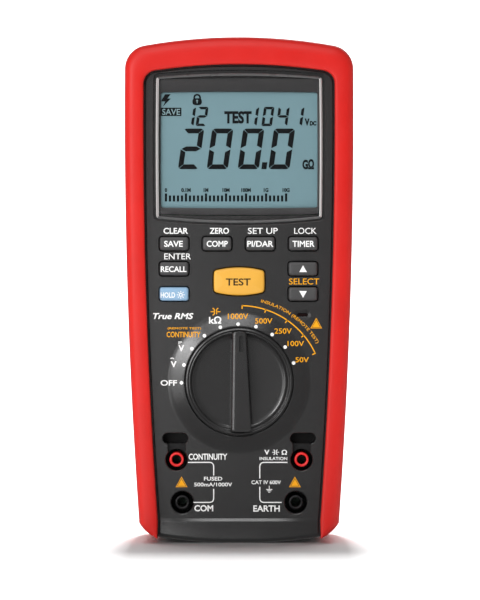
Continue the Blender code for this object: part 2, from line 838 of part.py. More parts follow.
def make_batteries(root):
    radius = CELL_RADIUS
    length = CELL_LENGTH
    profile = ((0, 0.0), (4.4, 0.0), (4.8, 0.5), (radius - 0.6, 0.5), (radius, 1.0),
               (radius, length - 2.2), (radius - 0.6, length - 1.6), (2.75, length - 1.6),
               (2.75, length), (0, length))
    mesh = None
    for index in range(4):
        name = f"battery_cell_{index + 1}"
        up = index % 2 == 0
        place = ((index - 1.5) * CELL_PITCH, CELL_Y, CELL_Z if up else CELL_Z + length)
        turn = (math.pi / 2 if up else -math.pi / 2, 0.0, 0.0)
        if mesh is None:
            bm = bmesh.new()
            turned(bm, profile, 14)
            mesh = new_object(name, bm, cell_wrap(), place, root, turn).data
        else:
            place_mesh(name, mesh, place, root, turn)
    for name, z in (("battery_contacts_upper", CELL_Z + length + GAP),
                    ("battery_contacts_lower", CELL_Z - GAP - 0.6)):
        bm = bmesh.new()
        box(bm, (-29.0, 29.0), (9.4, 19.8), (z, z + 0.6))
        new_object(name, bm, steel(), parent=root)


def make_fuse(root):
    bm = bmesh.new()
    half = FUSE_LENGTH / 2
    cap = half - 6.0
    profile = ((0, -half), (FUSE_RADIUS, -half), (FUSE_RADIUS, -cap), (FUSE_RADIUS - 0.35, -cap),
               (FUSE_RADIUS - 0.35, cap), (FUSE_RADIUS, cap), (FUSE_RADIUS, half), (0, half))
    turned(bm, profile, 16)
    turn = (0.0, 0.0, -math.pi / 2)
    new_object("fuse", bm, fuse_glass(), (0.0, FUSE_Y, FUSE_Z), root, turn)
    inner = FUSE_RADIUS + GAP
    outer = inner + 0.6
    foot_y = BAY_FLOOR_Y + GAP - FUSE_Y
    arc = [math.radians(-145 + 290 * step / 10) for step in range(11)]
    # The open side of each clip faces the battery door; its foot reaches the floor of the bay.
    around = [Vector((-math.cos(a), math.sin(a))) for a in arc]
    outline = [p * inner for p in reversed(around)]
    outline += [p * outer for p in around[:5]]
    outline += [Vector((foot_y, -2.0)), Vector((foot_y, 2.0))]
    outline += [p * outer for p in around[6:]]
    for side, x in (("left", -12.5), ("right", 12.5)):
        bm = bmesh.new()
        rings = [[Vector((x + across, p.x, p.y)) for p in outline] for across in (-2.4, 2.4)]
        loft(bm, rings)
        new_object(f"fuse_clip_{side}", bm, brass(), (0.0, FUSE_Y, FUSE_Z), root)


# ---------------------------------------------------------------- display


def make_display(root):
    bm = bmesh.new()
    front = RECESS_FLOOR_Y - GAP - LENS_THICK
    rings = []
    for inset, y in ((0.0, front + LENS_THICK), (0.0, front + 0.4), (0.4, front)):
        outline = bowed_outline(**LENS, steps=(4, 2, 1, 2, 4))
        rings.append(ring_at(flat_points(outline, inset), y))
    loft(bm, rings)
    new_object("display_lens", bm, clear_lens(), parent=root)

    bm = bmesh.new()
    frame = bowed_outline(**WINDOW)
    prism(bm, flat_points(frame, GAP), RECESS_FLOOR_Y, FACE_INNER_Y)
    mask = new_object("display_mask", bm, black_plastic(), parent=root)
    bm = bmesh.new()
    prism(bm, flat_points(bowed_outline(**MASK_HOLE)), FACE_Y, FACE_INNER_Y + PAST)
    cut(mask, helper("cutter_mask", bm))

    for name, skin, x, z, y in (
        ("lcd_panel", lcd_glass(), 35.8, (146.0, 205.6), (-20.9, -18.7)),
        ("lcd_backlight", white_plastic(), 35.0, (149.0, 204.0), (-18.4, -15.6)),
        ("lcd_connector_strip", seal_rubber(), 32.0, (146.3, 148.6), (-18.4, -15.3)),
    ):
        bm = bmesh.new()
        prism(bm, flat_points(bowed_outline(x, z[0], z[1], 0.6, steps=(1, 1, 1, 1, 1))), *y)
        new_object(name, bm, skin, parent=root)


# ---------------------------------------------------------------- keys


def key_solid(bm, outline_at):
    """A cap, a flange that stops behind the face, and a stem, from an outline function."""
    sections = ((-0.6, KEY_TOP_Y), (0.0, KEY_TOP_Y + 0.5), (0.0, FACE_INNER_Y + GAP),
                (KEY_FLANGE, FACE_INNER_Y + GAP), (KEY_FLANGE, -20.0), (-1.6, -20.0),
                (-1.6, -18.9))
    loft(bm, [ring_at(flat_points(outline_at(extra)), y) for extra, y in sections])


def make_keys(root):
    keypad = empty("keypad", parent=root)
    skins = {"hold": blue_key()}
    for name, x, z in SMALL_KEYS:
        bm = bmesh.new()
        key_solid(bm, key_outline)
        new_object(f"key_{name}", bm, skins.get(name, key_rubber()), (x, 0.0, z), keypad)
    bm = bmesh.new()
    key_solid(bm, test_outline)
    new_object("key_test", bm, amber_key(), (TEST_CENTRE[0], 0.0, TEST_CENTRE[1]), keypad)

    bm = bmesh.new()
    prism(bm, flat_points(bowed_outline(38.0, 104.4, 139.4, 2.0)), -16.9, BOARD_Y[0] - GAP)
    mat = new_object("keypad_mat", bm, seal_rubber(), parent=root)
    bm = bmesh.new()
    for _, x, z in SMALL_KEYS:
        turned(bm, ((0, -17.6), (1.7, -17.6), (2.4, -16.2), (0, -16.2)), 8, x, z)
    turned(bm, ((0, -17.6), (2.4, -17.6), (3.2, -16.2), (0, -16.2)), 8, *TEST_CENTRE)
    join(mat, helper("added_domes", bm))


# ---------------------------------------------------------------- selector


def make_selector(root):
    axis = empty("selector_axis", (0.0, 0.0, KNOB_Z), root)
    rim = KNOB_RADIUS
    bm = bmesh.new()
    profile = ((0, -23.4), (20.6, -23.4), (21.9, -26.2), (23.0, -26.6), (rim, -25.9),
               (rim, WELL_FLOOR_Y - GAP), (SHAFT_RADIUS, WELL_FLOOR_Y - GAP),
               (SHAFT_RADIUS, BOSS_Y + 0.2), (0, BOSS_Y + 0.2))
    turned(bm, profile, 40)
    knob = new_object("selector_knob", bm, case_plastic(), parent=axis)

    bm = bmesh.new()
    half = GRIP_LENGTH / 2
    rings = []
    for widen, y in ((1.6, -23.0), (0.5, -27.2), (0.0, FRONT_Y + 0.5), (-0.5, FRONT_Y)):
        low = GRIP_BOTTOM_WIDTH / 2 + widen
        high = GRIP_TOP_WIDTH / 2 + widen
        corners = ((-low, -half), (low, -half), (high, half), (-high, half))
        rings.append([Vector((x, y, z)) for x, z in corners])
    loft(bm, rings)
    join(knob, helper("added_grip", bm, (0.0, 0.0, KNOB_Z)))
    bm = bmesh.new()
    box(bm, (-0.6, 0.6), (FRONT_Y - 1.0, FRONT_Y + 0.6), (13.3, 20.3))
    cut(knob, helper("cutter_pointer", bm, (0.0, 0.0, KNOB_Z)))

    bm = bmesh.new()
    rotor_front = BOSS_Y + 0.5
    turned(bm, ((0, rotor_front), (ROTOR_RADIUS, rotor_front), (ROTOR_RADIUS, -16.6), (0, -16.6)),
           30)
    new_object("selector_rotor", bm, white_plastic(), parent=axis)

    bm = bmesh.new()
    turned(bm, ((9.0, -16.3), (14.5, -16.3), (14.5, -15.3), (9.0, -15.3)), 20)
    new_object("rotor_contacts", bm, brass(), parent=axis)

    bm = bmesh.new()
    inner = ROTOR_RADIUS + 0.4
    angles = [math.radians(200 + 50 * step / 6) for step in range(7)]
    outline = [Vector((inner * math.cos(a), inner * math.sin(a))) for a in angles]
    outline += [p * ((inner + 0.5) / inner) for p in reversed(outline)]
    prism(bm, outline, -18.6, BOARD_Y[0] - GAP)
    new_object("detent_spring", bm, steel(), (0.0, 0.0, KNOB_Z), root)


# ---------------------------------------------------------------- terminals


def terminal_cuts():
    """Stepped wells for the four terminals, and the blind slots of the remote probe ports."""
    wells = bmesh.new()
    well = JACK_WELL + 0.1
    seat = JACK_TUBE + GAP
    for _, x, z in mirrored_pairs((UPPER_JACK, LOWER_JACK)):
        turned(wells, ((0, FRONT_Y), (well, FRONT_Y), (well, JACK_WELL_FLOOR_Y),
                       (seat, JACK_WELL_FLOOR_Y), (seat, 0.0), (0, 0.0)), 16, x, z)
    ports = bmesh.new()
    for sign in (-1, 1):
        prism(ports, port_points(sign, False), FRONT_Y, PORT_FLOOR_Y)
    return helper("cutter_ports", ports), helper("cutter_wells", wells)


def make_terminals(root):
    bm = bmesh.new()
    box(bm, (-36.0, 36.0), (-8.0, -3.0), (12.0, 51.0))
    block = new_object("terminal_block", bm, black_plastic(), parent=root)
    bm = bmesh.new()
    for x0, x1 in ((-36.4, -19.5), (19.5, 36.4)):
        box(bm, (x0, x1), (FACE_INNER_Y + GAP, -4.0), (11.6, 51.5))
    join(block, helper("added_pillars", bm))
    cut(block, *terminal_cuts())

    tube = ((JACK_TUBE, -23.0), (JACK_TUBE, -2.8), (CONTACT_OUTER + GAP, -2.8),
            (CONTACT_OUTER + GAP, -20.0), (JACK_BORE, -20.0), (JACK_BORE, -23.4),
            (JACK_TUBE - 0.4, -23.4))
    sleeve = ((CONTACT_OUTER, -19.7), (CONTACT_OUTER, -2.8), (CONTACT_BORE, -2.8),
              (CONTACT_BORE, -19.7))
    for level, place, skin in (("upper", UPPER_JACK, red_plastic()),
                               ("lower", LOWER_JACK, black_plastic())):
        for side, x, z in mirrored_pairs([place]):
            bm = bmesh.new()
            turned(bm, tube, 14)
            new_object(f"jack_insulator_{level}_{side}", bm, skin, (x, 0.0, z), root)
            bm = bmesh.new()
            turned(bm, sleeve, 12)
            new_object(f"jack_contact_{level}_{side}", bm, brass(), (x, 0.0, z), root)


# ---------------------------------------------------------------- boards and their parts


def make_boards(root):
    bm = bmesh.new()
    outline = ((-31.0, 53.6), (31.0, 53.6), (33.5, 60.0), (36.0, 64.0), (36.0, 204.4),
               (-36.0, 204.4), (-36.0, 64.0), (-33.5, 60.0))
    prism(bm, [Vector(p) for p in outline], *BOARD_Y)
    board = new_object("main_board", bm, board_green(), parent=root)
    bm = bmesh.new()
    for _, x, z in mirrored_pairs([BOARD_SCREW]):
        rod(bm, 1.2, BOARD_Y[0] - 1.0, BOARD_Y[1] + 1.0, x, z, 8)
    cut(board, helper("cutter_board", bm))

    bm = bmesh.new()
    outline = ((-30.0, 10.5), (30.0, 10.5), (35.0, 15.5), (35.0, 50.0), (31.0, 60.0),
               (-31.0, 60.0), (-35.0, 50.0), (-35.0, 15.5))
    prism(bm, [Vector(p) for p in outline], *INPUT_BOARD_Y)
    new_object("input_board", bm, board_green(), parent=root)

    bm = bmesh.new()
    box(bm, (-12.0, 12.0), (BOARD_BACK, INPUT_BOARD_Y[0] - GAP), (55.5, 58.4))
    new_object("board_link", bm, black_plastic(), parent=root)


def make_components(root):
    bm = bmesh.new()
    middle = (0.0, -6.5, 161.0)
    box(bm, (-12.0, 12.0), (-4.5, 4.5), (-10.0, 10.0))
    core = new_object("transformer_core", bm, ferrite(), middle, root)
    bm = bmesh.new()
    for sign in (-1, 1):
        box(bm, (sign * 6.0 - 3.0, sign * 6.0 + 3.0), (-6.0, 6.0), (-6.5, 6.5))
    cut(core, helper("cutter_core", bm, middle))

    bm = bmesh.new()
    rings = []
    for half_x, half_y, z in ((8.7, 6.2, -6.2), (8.7, 6.2, 6.2), (3.3, 4.8, 6.2), (3.3, 4.8, -6.2)):
        corners = ((-half_x, -half_y), (half_x, -half_y), (half_x, half_y), (-half_x, half_y))
        rings.append([bm.verts.new((x, y, z)) for x, y in corners])
    for lower, upper in zip(rings, rings[1:] + rings[:1]):
        bridge(bm, lower, upper)
    new_object("transformer_coil", bm, copper_winding(), middle, root)

    bm = bmesh.new()
    turned(bm, ((0, -13.0), (4.6, -13.0), (5.0, -12.4), (5.0, 12.6), (4.6, 13.0), (0, 13.0)), 16)
    new_object("storage_capacitor", bm, black_plastic(), (24.0, -7.9, 161.0), root,
               (math.pi / 2, 0.0, 0.0))

    bm = bmesh.new()
    turned(bm, ((0, 0.0), (7.0, 0.0), (7.0, 6.0), (6.4, 6.6), (1.5, 6.6), (1.5, 4.6), (0, 4.6)), 18)
    new_object("buzzer", bm, black_plastic(), (-22.0, BOARD_BACK, 122.0), root)

    bm = bmesh.new()
    inset = 0.25
    shapes = ((LAMP_SIZE[0] / 2 - inset, LAMP_SIZE[1] / 2 - inset, FACE_Y + 0.6),
              (LAMP_SIZE[0] / 2 - inset, LAMP_SIZE[1] / 2 - inset, FACE_INNER_Y + GAP),
              (3.2, 1.8, FACE_INNER_Y + GAP), (3.2, 1.8, -19.6))
    loft(bm, [ring_at(flat_points(bowed_outline(x, -z, z, 0.5)), y) for x, z, y in shapes])
    new_object("warning_lamp", bm, red_plastic(), (LAMP_CENTRE[0], 0.0, LAMP_CENTRE[1]), root)


def main():
    clear_scene()
    root = empty("tester")
    make_holster(root)
    make_front_case(root)
    make_rear_case(root)
    make_case_seal(root)
    door = make_battery_door(root)
    make_fasteners(root, door)
    make_tilt_stand(root)
    make_batteries(root)
    make_fuse(root)
    make_display(root)
    make_keys(root)
    make_selector(root)
    make_terminals(root)
    make_boards(root)
    make_components(root)


main()
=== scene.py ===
"""The looks of a handheld insulation resistance tester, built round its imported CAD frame.

Shapes are drawn in millimetres in the frame's axes (front -Y, +X right, +Z up) and are scaled to
metres when a piece is made. Outlines are drawn in the XZ plane as (point, inward normal) pairs.
"""

import json
import math

import bmesh
import bpy
from mathutils import Matrix, Vector


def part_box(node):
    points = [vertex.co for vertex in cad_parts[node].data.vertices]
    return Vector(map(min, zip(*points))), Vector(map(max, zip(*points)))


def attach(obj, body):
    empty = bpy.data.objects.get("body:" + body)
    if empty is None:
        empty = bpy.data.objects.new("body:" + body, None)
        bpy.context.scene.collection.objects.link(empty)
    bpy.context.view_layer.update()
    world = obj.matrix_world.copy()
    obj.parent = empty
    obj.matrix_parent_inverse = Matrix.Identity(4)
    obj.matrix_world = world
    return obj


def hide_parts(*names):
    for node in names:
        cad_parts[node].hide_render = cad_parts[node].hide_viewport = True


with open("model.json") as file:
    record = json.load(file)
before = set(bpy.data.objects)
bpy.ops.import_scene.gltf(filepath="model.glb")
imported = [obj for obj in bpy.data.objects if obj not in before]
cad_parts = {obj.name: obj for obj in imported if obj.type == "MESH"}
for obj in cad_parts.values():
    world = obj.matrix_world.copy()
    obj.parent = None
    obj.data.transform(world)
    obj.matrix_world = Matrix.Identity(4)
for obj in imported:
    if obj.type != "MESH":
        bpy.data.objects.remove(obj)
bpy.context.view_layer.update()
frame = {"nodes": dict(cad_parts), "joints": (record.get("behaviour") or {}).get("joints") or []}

MM = 0.001

# Clearance between neighbours, reach of a cutter past a face, and thickness of printing
GAP = 0.3
PAST = 2.0
INK = 0.03


def span(node):
    """Lowest and highest corner of a CAD node in millimetres."""
    low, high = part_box(node)
    return low / MM, high / MM


def centre(node):
    """(x, z) of the middle of a CAD node, in millimetres."""
    low, high = span(node)
    middle = (low + high) / 2
    return middle.x, middle.z


def nodes_named(prefix):
    return [node for node in sorted(frame["nodes"]) if node.startswith(prefix)]


# Envelope of the holster and of the case inside it
HOLSTER_LOW, HOLSTER_HIGH = span("holster")
HALF_WIDTH = HOLSTER_HIGH.x
HEIGHT = HOLSTER_HIGH.z
BACK_Y = HOLSTER_HIGH.y
HOLSTER_FRONT_Y = HOLSTER_LOW.y
SIDE_RADIUS = 2540.0
WIDEST_Z = 190.0
TOP_RADIUS = 238.0
TOP_CORNER = 10.5
HOLSTER_WALL = 3.7
LIP = 8.4
OPENING_TOP_Z = 212.8
OPENING_TOP_RADIUS = 255.0
OPENING_CORNER = 6.0
WING_TIP = Vector((36.3, 2.0))
WING_TOP_Z = 8.9
WING_BULGE = 3.8
WING_STEPS = 12
RIM_STEPS = (26, 12, 22)

# Case
CASE_WALL = 2.6
BOTTOM_RADIUS = 240.0
BOTTOM_FLAT = 8.0
FOOT_CORNER = 7.5
FACE_Y = -24.0
FACE_INNER_Y = -21.2
BEHIND_FACE_Y = FACE_INNER_Y + PAST
REAR_Y = 25.0
RIM_Y = 0.6

# Ridge across the lower end of the face, and the slight flare below it
RIDGE_TOP = 11.0
RIDGE_Z = 9.5
RIDGE_HALF = 34.5
RIDGE_HEIGHT = 0.70
FLARE_FROM_Y = -8.0
FLARE = 0.005

# Display
FINE_STEPS = (14, 8, 6, 8, 14)
RECESS = {"half_width": 38.2, "bottom_z": 141.5, "bottom_radius": 333.0,
          "top_z": 210.2, "top_radius": 430.0, "corner": 2.6}
RECESS_FLOOR_Y = -22.3
LENS_OUTLINE = {"half_width": 37.1, "bottom_z": 142.2, "bottom_radius": 330.0,
                "top_z": 209.0, "top_radius": 425.0, "corner": 1.6}
WINDOW = {"half_width": 36.0, "bottom_z": 145.6, "top_z": 207.0, "corner": 1.8}
MASK_HOLE = {"half_width": 34.95, "bottom_z": 148.9, "top_z": 200.7, "corner": 0.9}

# Keys: half sizes, corner radius and the radii of the four sides, then the reach and rise of the crown
SMALL_KEYS = ("save", "comp", "pi_dar", "timer", "recall", "up", "hold", "down")
SMALL_KEY = {"half": (6.4, 3.0), "corner": 1.2, "radii": (2000.0, 2000.0, 2000.0),
             "steps": (2, 6, 2, 6, 2), "reach": 2.0, "crown": 0.06}
TEST_KEY = {"half": (11.3, 6.2), "corner": 1.5, "radii": (42.0, 42.0, 60.0),
            "steps": (8, 6, 6, 6, 8), "reach": 4.2, "crown": 0.45}
KEY_SHAPES = {**dict.fromkeys(SMALL_KEYS, SMALL_KEY), "test": TEST_KEY}
KEY_SLIT = 0.4
KEY_TOP_Y = span("key_save")[0].y

# Selector
KNOB_Z = frame["joints"][0]["pos_m"][2] / MM
KNOB_RADIUS = 23.9
KNOB_FRONT_Y = span("selector_knob")[0].y
DISH_Y = -24.3
WELL_RADIUS = 24.3
WELL_FLOOR_Y = -21.7
BOSS_RADIUS = 26.5
COLLAR_RISE = 2.5
COLLAR_FOOT = 33.0
COLLAR_WELL = 24.7
COLLAR_STEPS = 18
DOT_RADIUS = 25.6

# Terminals
UPPER_JACK = centre("jack_insulator_upper_right")
LOWER_JACK = centre("jack_insulator_lower_right")
JACK_WELL = 4.9
JACK_TUBE = 3.2
JACK_BORE = 2.15
JACK_FRONT_Y = span("jack_insulator_upper_right")[0].y
PORT_X = (22.8, 34.0)
PORT_Z = (44.0, 48.8)
PORT_NECK = 3.8
NECK_FLOOR_Y = -21.6

# Back
DOOR_LOW, DOOR_HIGH = span("battery_door")
DOOR_LOW_Y = 22.6
STAND_LOW, STAND_HIGH = span("tilt_stand")
HINGE_Y = 23.3
HINGE_Z = 186.0
PIN_RADIUS = 1.2
CASE_SCREWS = nodes_named("case_screw")
DOOR_SCREWS = nodes_named("battery_door_screw")
SCREW_HEAD = 2.6
DOOR_SCREW_HEAD = 2.2


# ---- outlines


def polar(radius, degrees):
    angle = math.radians(degrees)
    return Vector((radius * math.cos(angle), radius * math.sin(angle)))


def fillet_centre(first, second, radius, upper):
    """Centre of the corner circle that touches two larger circles from inside, on the +X side."""
    (c1, r1), (c2, r2) = first, second
    between = c2 - c1
    distance = between.length
    along = ((r1 - radius) ** 2 - (r2 - radius) ** 2 + distance**2) / (2 * distance)
    across = math.sqrt((r1 - radius) ** 2 - along**2)
    unit = between / distance
    normal = Vector((-unit.y, unit.x))
    ends = [c1 + unit * along + normal * across * sign for sign in (1, -1)]
    return (max if upper else min)(ends, key=lambda point: point.y)


def touching_arcs(circles, start, end, steps):
    """Arcs of circles that touch inside one another, as (point, inward normal) pairs."""
    angles = [start]
    for (c1, r1), (c2, r2) in zip(circles, circles[1:]):
        towards = c2 - c1 if r2 < r1 else c1 - c2
        angles.append(math.atan2(towards.y, towards.x))
    angles.append(end)
    points = []
    for index, (middle, radius) in enumerate(circles):
        last = index == len(circles) - 1
        for step in range(steps[index] + last):
            share = step / steps[index]
            angle = angles[index] * (1 - share) + angles[index + 1] * share
            away = Vector((math.cos(angle), math.sin(angle)))
            points.append((middle + away * radius, -away))
    return points


def both_sides(right):
    """The right half followed by its mirror image, back down the left."""
    left = [(Vector((-p.x, p.y)), Vector((-n.x, n.y))) for p, n in reversed(right)]
    return right + left[1:]


def side_circle(inset=0.0, half_width=HALF_WIDTH, radius=SIDE_RADIUS, level=WIDEST_Z):
    return (Vector((half_width - radius, level)), radius - inset)


def with_corner(side, top, corner):
    return (side, (fillet_centre(side, top, corner, True), corner), top)


def rim_circles(inset=0.0):
    """Side, shoulder and top circles, this far inside the holster's outer face."""
    top = (Vector((0.0, HEIGHT - TOP_RADIUS)), TOP_RADIUS - inset)
    return with_corner(side_circle(inset), top, TOP_CORNER - inset)


def case_circles(outset=0.0):
    """Bottom, foot, side, shoulder and top circles of the case, or this far outside it."""
    sag = BOTTOM_RADIUS - math.sqrt(BOTTOM_RADIUS**2 - BOTTOM_FLAT**2)
    bottom = (Vector((0.0, BOTTOM_RADIUS - sag)), BOTTOM_RADIUS + outset)
    above = rim_circles(HOLSTER_WALL - outset)
    corner = FOOT_CORNER + outset
    return (bottom, (fillet_centre(bottom, above[0], corner, False), corner)) + above


def case_outline():
    """Closed outline of the case, with a short flat at the middle of its bottom arc."""
    start = -math.pi / 2 + math.asin(BOTTOM_FLAT / BOTTOM_RADIUS)
    return both_sides(touching_arcs(case_circles(), start, math.pi / 2, (12, 10) + RIM_STEPS))


def holster_lining():
    """Open outline that hugs the case, a gap outside it."""
    circles = case_circles(GAP)[1:]
    foot, radius = circles[0]
    start = -math.acos((WING_TIP.x - foot.x) / radius)
    return both_sides(touching_arcs(circles, start, math.pi / 2, (WING_STEPS,) + RIM_STEPS))


def winged_outline(circles, tip, bulge=0.0, normal=None):
    """Open outline from one wing tip over the top to the other."""
    start = math.asin((WING_TOP_Z - WIDEST_Z) / SIDE_RADIUS)
    rest = touching_arcs(circles, start, math.pi / 2, RIM_STEPS)
    chord = rest[0][0] - tip
    away = Vector((chord.y, -chord.x)).normalized()
    inward = -away if normal is None else normal
    shares = [step / WING_STEPS for step in range(WING_STEPS)]
    wing = [(tip + chord * t + away * bulge * t * (1 - t), inward) for t in shares]
    return both_sides(wing + rest)


def holster_outer():
    return winged_outline(rim_circles(), WING_TIP, WING_BULGE)


def holster_opening():
    """Open outline of the edge round the visible front and back of the case."""
    top = (Vector((0.0, OPENING_TOP_Z - OPENING_TOP_RADIUS)), OPENING_TOP_RADIUS)
    circles = with_corner(side_circle(LIP), top, OPENING_CORNER)
    return winged_outline(circles, WING_TIP + Vector((0.0, 0.4)), 0.0, Vector((-1.0, 0.0)))


def bowed_outline(half_width, bottom_z, top_z, corner, bottom_radius=2000.0, top_radius=2000.0,
                  side_radius=2000.0, steps=(2, 6, 2, 6, 2)):
    """Closed rounded rectangle whose sides may bulge."""
    bottom = (Vector((0.0, bottom_z + bottom_radius)), bottom_radius)
    top = (Vector((0.0, top_z - top_radius)), top_radius)
    side = side_circle(0.0, half_width, side_radius, (bottom_z + top_z) / 2)
    low = (fillet_centre(bottom, side, corner, False), corner)
    circles = (bottom, low) + with_corner(side, top, corner)
    return both_sides(touching_arcs(circles, -math.pi / 2, math.pi / 2, steps))[:-1]


def shifted(outline, x, z):
    return [(p + Vector((x, z)), n) for p, n in outline]


def flat_points(outline, inset=0.0):
    return [p + n * inset for p, n in outline]


def vectors(*points):
    return [Vector(p) for p in points]


def arc_points(radius, x, z, start, end, steps):
    """Points on a circle about (x, z), with angles in degrees."""
    angles = [start + (end - start) * i / steps for i in range(steps + 1)]
    return [Vector((x, z)) + polar(radius, angle) for angle in angles]


def circle_points(radius, x=0.0, z=0.0, segments=32):
    return arc_points(radius, x, z, 0, 360, segments)[:-1]


def box_points(x, z):
    return vectors((x[0], z[0]), (x[1], z[0]), (x[1], z[1]), (x[0], z[1]))


def with_normals(points):
    """Pairs each point of a closed polygon that runs anticlockwise with its inward normal."""
    pairs = []
    for before, here, after in zip(points[-1:] + points[:-1], points, points[1:] + points[:1]):
        along = ((here - before).normalized() + (after - here).normalized()).normalized()
        pairs.append((here, Vector((-along.y, along.x))))
    return pairs


def rounded(points, radius, steps=5):
    """A line through points whose corners are rounded. A third number in a point sets its own radius."""
    line = [Vector(points[0][:2])]
    for before, corner, after in zip(points, points[1:], points[2:]):
        own = corner[2] if len(corner) > 2 else radius
        middle = Vector(corner[:2])
        back = Vector(before[:2]) - middle
        ahead = Vector(after[:2]) - middle
        if abs(back.angle(ahead) - math.pi) < 0.02:
            line.append(middle)
            continue
        reach = min(own / math.tan(back.angle(ahead) / 2), 0.48 * back.length, 0.48 * ahead.length)
        start = middle + back.normalized() * reach
        end = middle + ahead.normalized() * reach
        shares = [step / steps for step in range(steps + 1)]
        line += [start * (1 - t) ** 2 + middle * 2 * t * (1 - t) + end * t**2 for t in shares]
    line.append(Vector(points[-1][:2]))
    return line


# ---- solids


def bridge(bm, lower, upper, closed=True):
    """Faces between two rows of vertices. A row of one vertex is a point on the axis."""
    count = max(len(lower), len(upper))
    for i in range(count if closed else count - 1):
        j = (i + 1) % count
        corners = []
        for row, order in ((lower, (i, j)), (upper, (j, i))):
            corners.extend([row[k] for k in order] if len(row) > 1 else row)
        bm.faces.new(corners)


def bridge_rings(bm, rings, looped, closed=True):
    """Skins over rings of points, joins the last to the first if looped, and returns their rows."""
    rows = [[bm.verts.new(point) for point in ring] for ring in rings]
    for lower, upper in zip(rows, rows[1:] + rows[:1] if looped else rows[1:]):
        bridge(bm, lower, upper, closed)
    return rows


def ring_at(points, y):
    return [Vector((p.x, y, p.y)) for p in points]


def loft(bm, rings):
    """A solid through closed rings, capped at both ends."""
    rows = bridge_rings(bm, rings, False)
    bm.faces.new(rows[0])
    bm.faces.new(rows[-1])


def loop_loft(bm, rings):
    """A closed tube through closed rings, the last joined to the first."""
    bridge_rings(bm, rings, True)


def bow_loft(bm, rings):
    """A solid swept along an open line: each ring is one long row, and the rows close in a loop."""
    rows = bridge_rings(bm, rings, True, closed=False)
    bm.faces.new([row[0] for row in rows])
    bm.faces.new([row[-1] for row in rows])


def section_rings(*sections):
    """Rings from (outline, (inset, y) pairs) sections."""
    return [ring_at(flat_points(outline, inset), y) for outline, pairs in sections for inset, y in pairs]


def profile_solid(bm, outline, profile):
    """A closed solid through (inset, y) pairs of one outline."""
    loft(bm, section_rings((outline, profile)))


def prism(bm, points, y0, y1):
    loft(bm, (ring_at(points, y0), ring_at(points, y1)))


def box(bm, x, y, z):
    prism(bm, box_points(x, z), *y)


def turned(bm, profile, segments, x=0.0, z=0.0):
    """A solid of revolution about a Y axis through (x, z), from (radius, y) pairs."""
    rings = []
    for radius, y in profile:
        rings.append(ring_at(circle_points(radius, x, z, segments) if radius else vectors((x, z)), y))
    bridge_rings(bm, rings, len(rings[0]) > 1)


def rod(bm, radius, y, segments, place):
    """A round bar between two y values."""
    turned(bm, [(0, y[0]), (radius, y[0]), (radius, y[1]), (0, y[1])], segments, *place)


def hinge_rod(bm, radius, half, segments):
    """A round bar along the stand's hinge axis."""
    circle = circle_points(radius, HINGE_Y, HINGE_Z, segments)
    loft(bm, [[Vector((x, p.x, p.y)) for p in circle] for x in (-half, half)])


def lip(radius, face=FACE_Y, steps=4, side=1.0):
    """(inset, y) pairs of a cutter whose mouth rounds the edge of the opening it makes."""
    pairs = []
    for step in range(1, steps + 1):
        angle = math.pi / 2 * step / steps
        pairs.append((-radius * (1 - math.sin(angle)), face + side * radius * (1 - math.cos(angle))))
    return [(pairs[0][0], face - side * PAST)] + pairs


def rear_lip(radius, face=REAR_Y, steps=4):
    """The same for an opening seen from behind, from its inside outwards."""
    return lip(radius, face, steps, -1.0)[::-1]


def round_lip(edge, pairs):
    """The (radius, y) pairs of a round opening, from (inset, y) pairs."""
    return [(edge - inset, y) for inset, y in pairs]


# ---- objects


def show(name, data):
    made = bpy.data.objects.new(name, data)
    bpy.context.scene.collection.objects.link(made)
    return made


def smooth(mesh, sharp):
    mesh.shade_smooth()
    mesh.set_sharp_from_angle(angle=math.radians(sharp))


def new_mesh_object(name, bm, skin_names=(), sharp=32):
    bmesh.ops.recalc_face_normals(bm, faces=bm.faces)
    bmesh.ops.scale(bm, vec=(MM, MM, MM), verts=bm.verts)
    mesh = bpy.data.meshes.new(name)
    bm.to_mesh(mesh)
    bm.free()
    for skin in skin_names:
        mesh.materials.append(skins[skin])
    smooth(mesh, sharp)
    return show(name, mesh)


def finish_piece(made, body, replaces=(), even=False):
    """Declares a piece. Its large flat faces shade evenly, up to their rounded edges, if even is set."""
    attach(made, body)
    if replaces:
        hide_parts(*replaces)
    if even:
        modifier = made.modifiers.new("even_normals", "WEIGHTED_NORMAL")
        modifier.keep_sharp = True
        modifier.weight = 100


def piece(name, bm, body, skin, replaces=(), sharp=32, even=False):
    finish_piece(new_mesh_object(name, bm, (skin,), sharp), body, replaces, even)


def carve(target, bm, operation="DIFFERENCE", sharp=32):
    """Cuts or adds a helper solid, and keeps the result as the target's mesh."""
    tool = new_mesh_object("helper", bm)
    modifier = target.modifiers.new("carve", "BOOLEAN")
    modifier.operation = operation
    modifier.solver = "EXACT"
    modifier.object = tool
    graph = bpy.context.evaluated_depsgraph_get()
    mesh = bpy.data.meshes.new_from_object(target.evaluated_get(graph))
    target.modifiers.clear()
    target.data = mesh
    bpy.data.objects.remove(tool)
    smooth(mesh, sharp)


# ---- materials


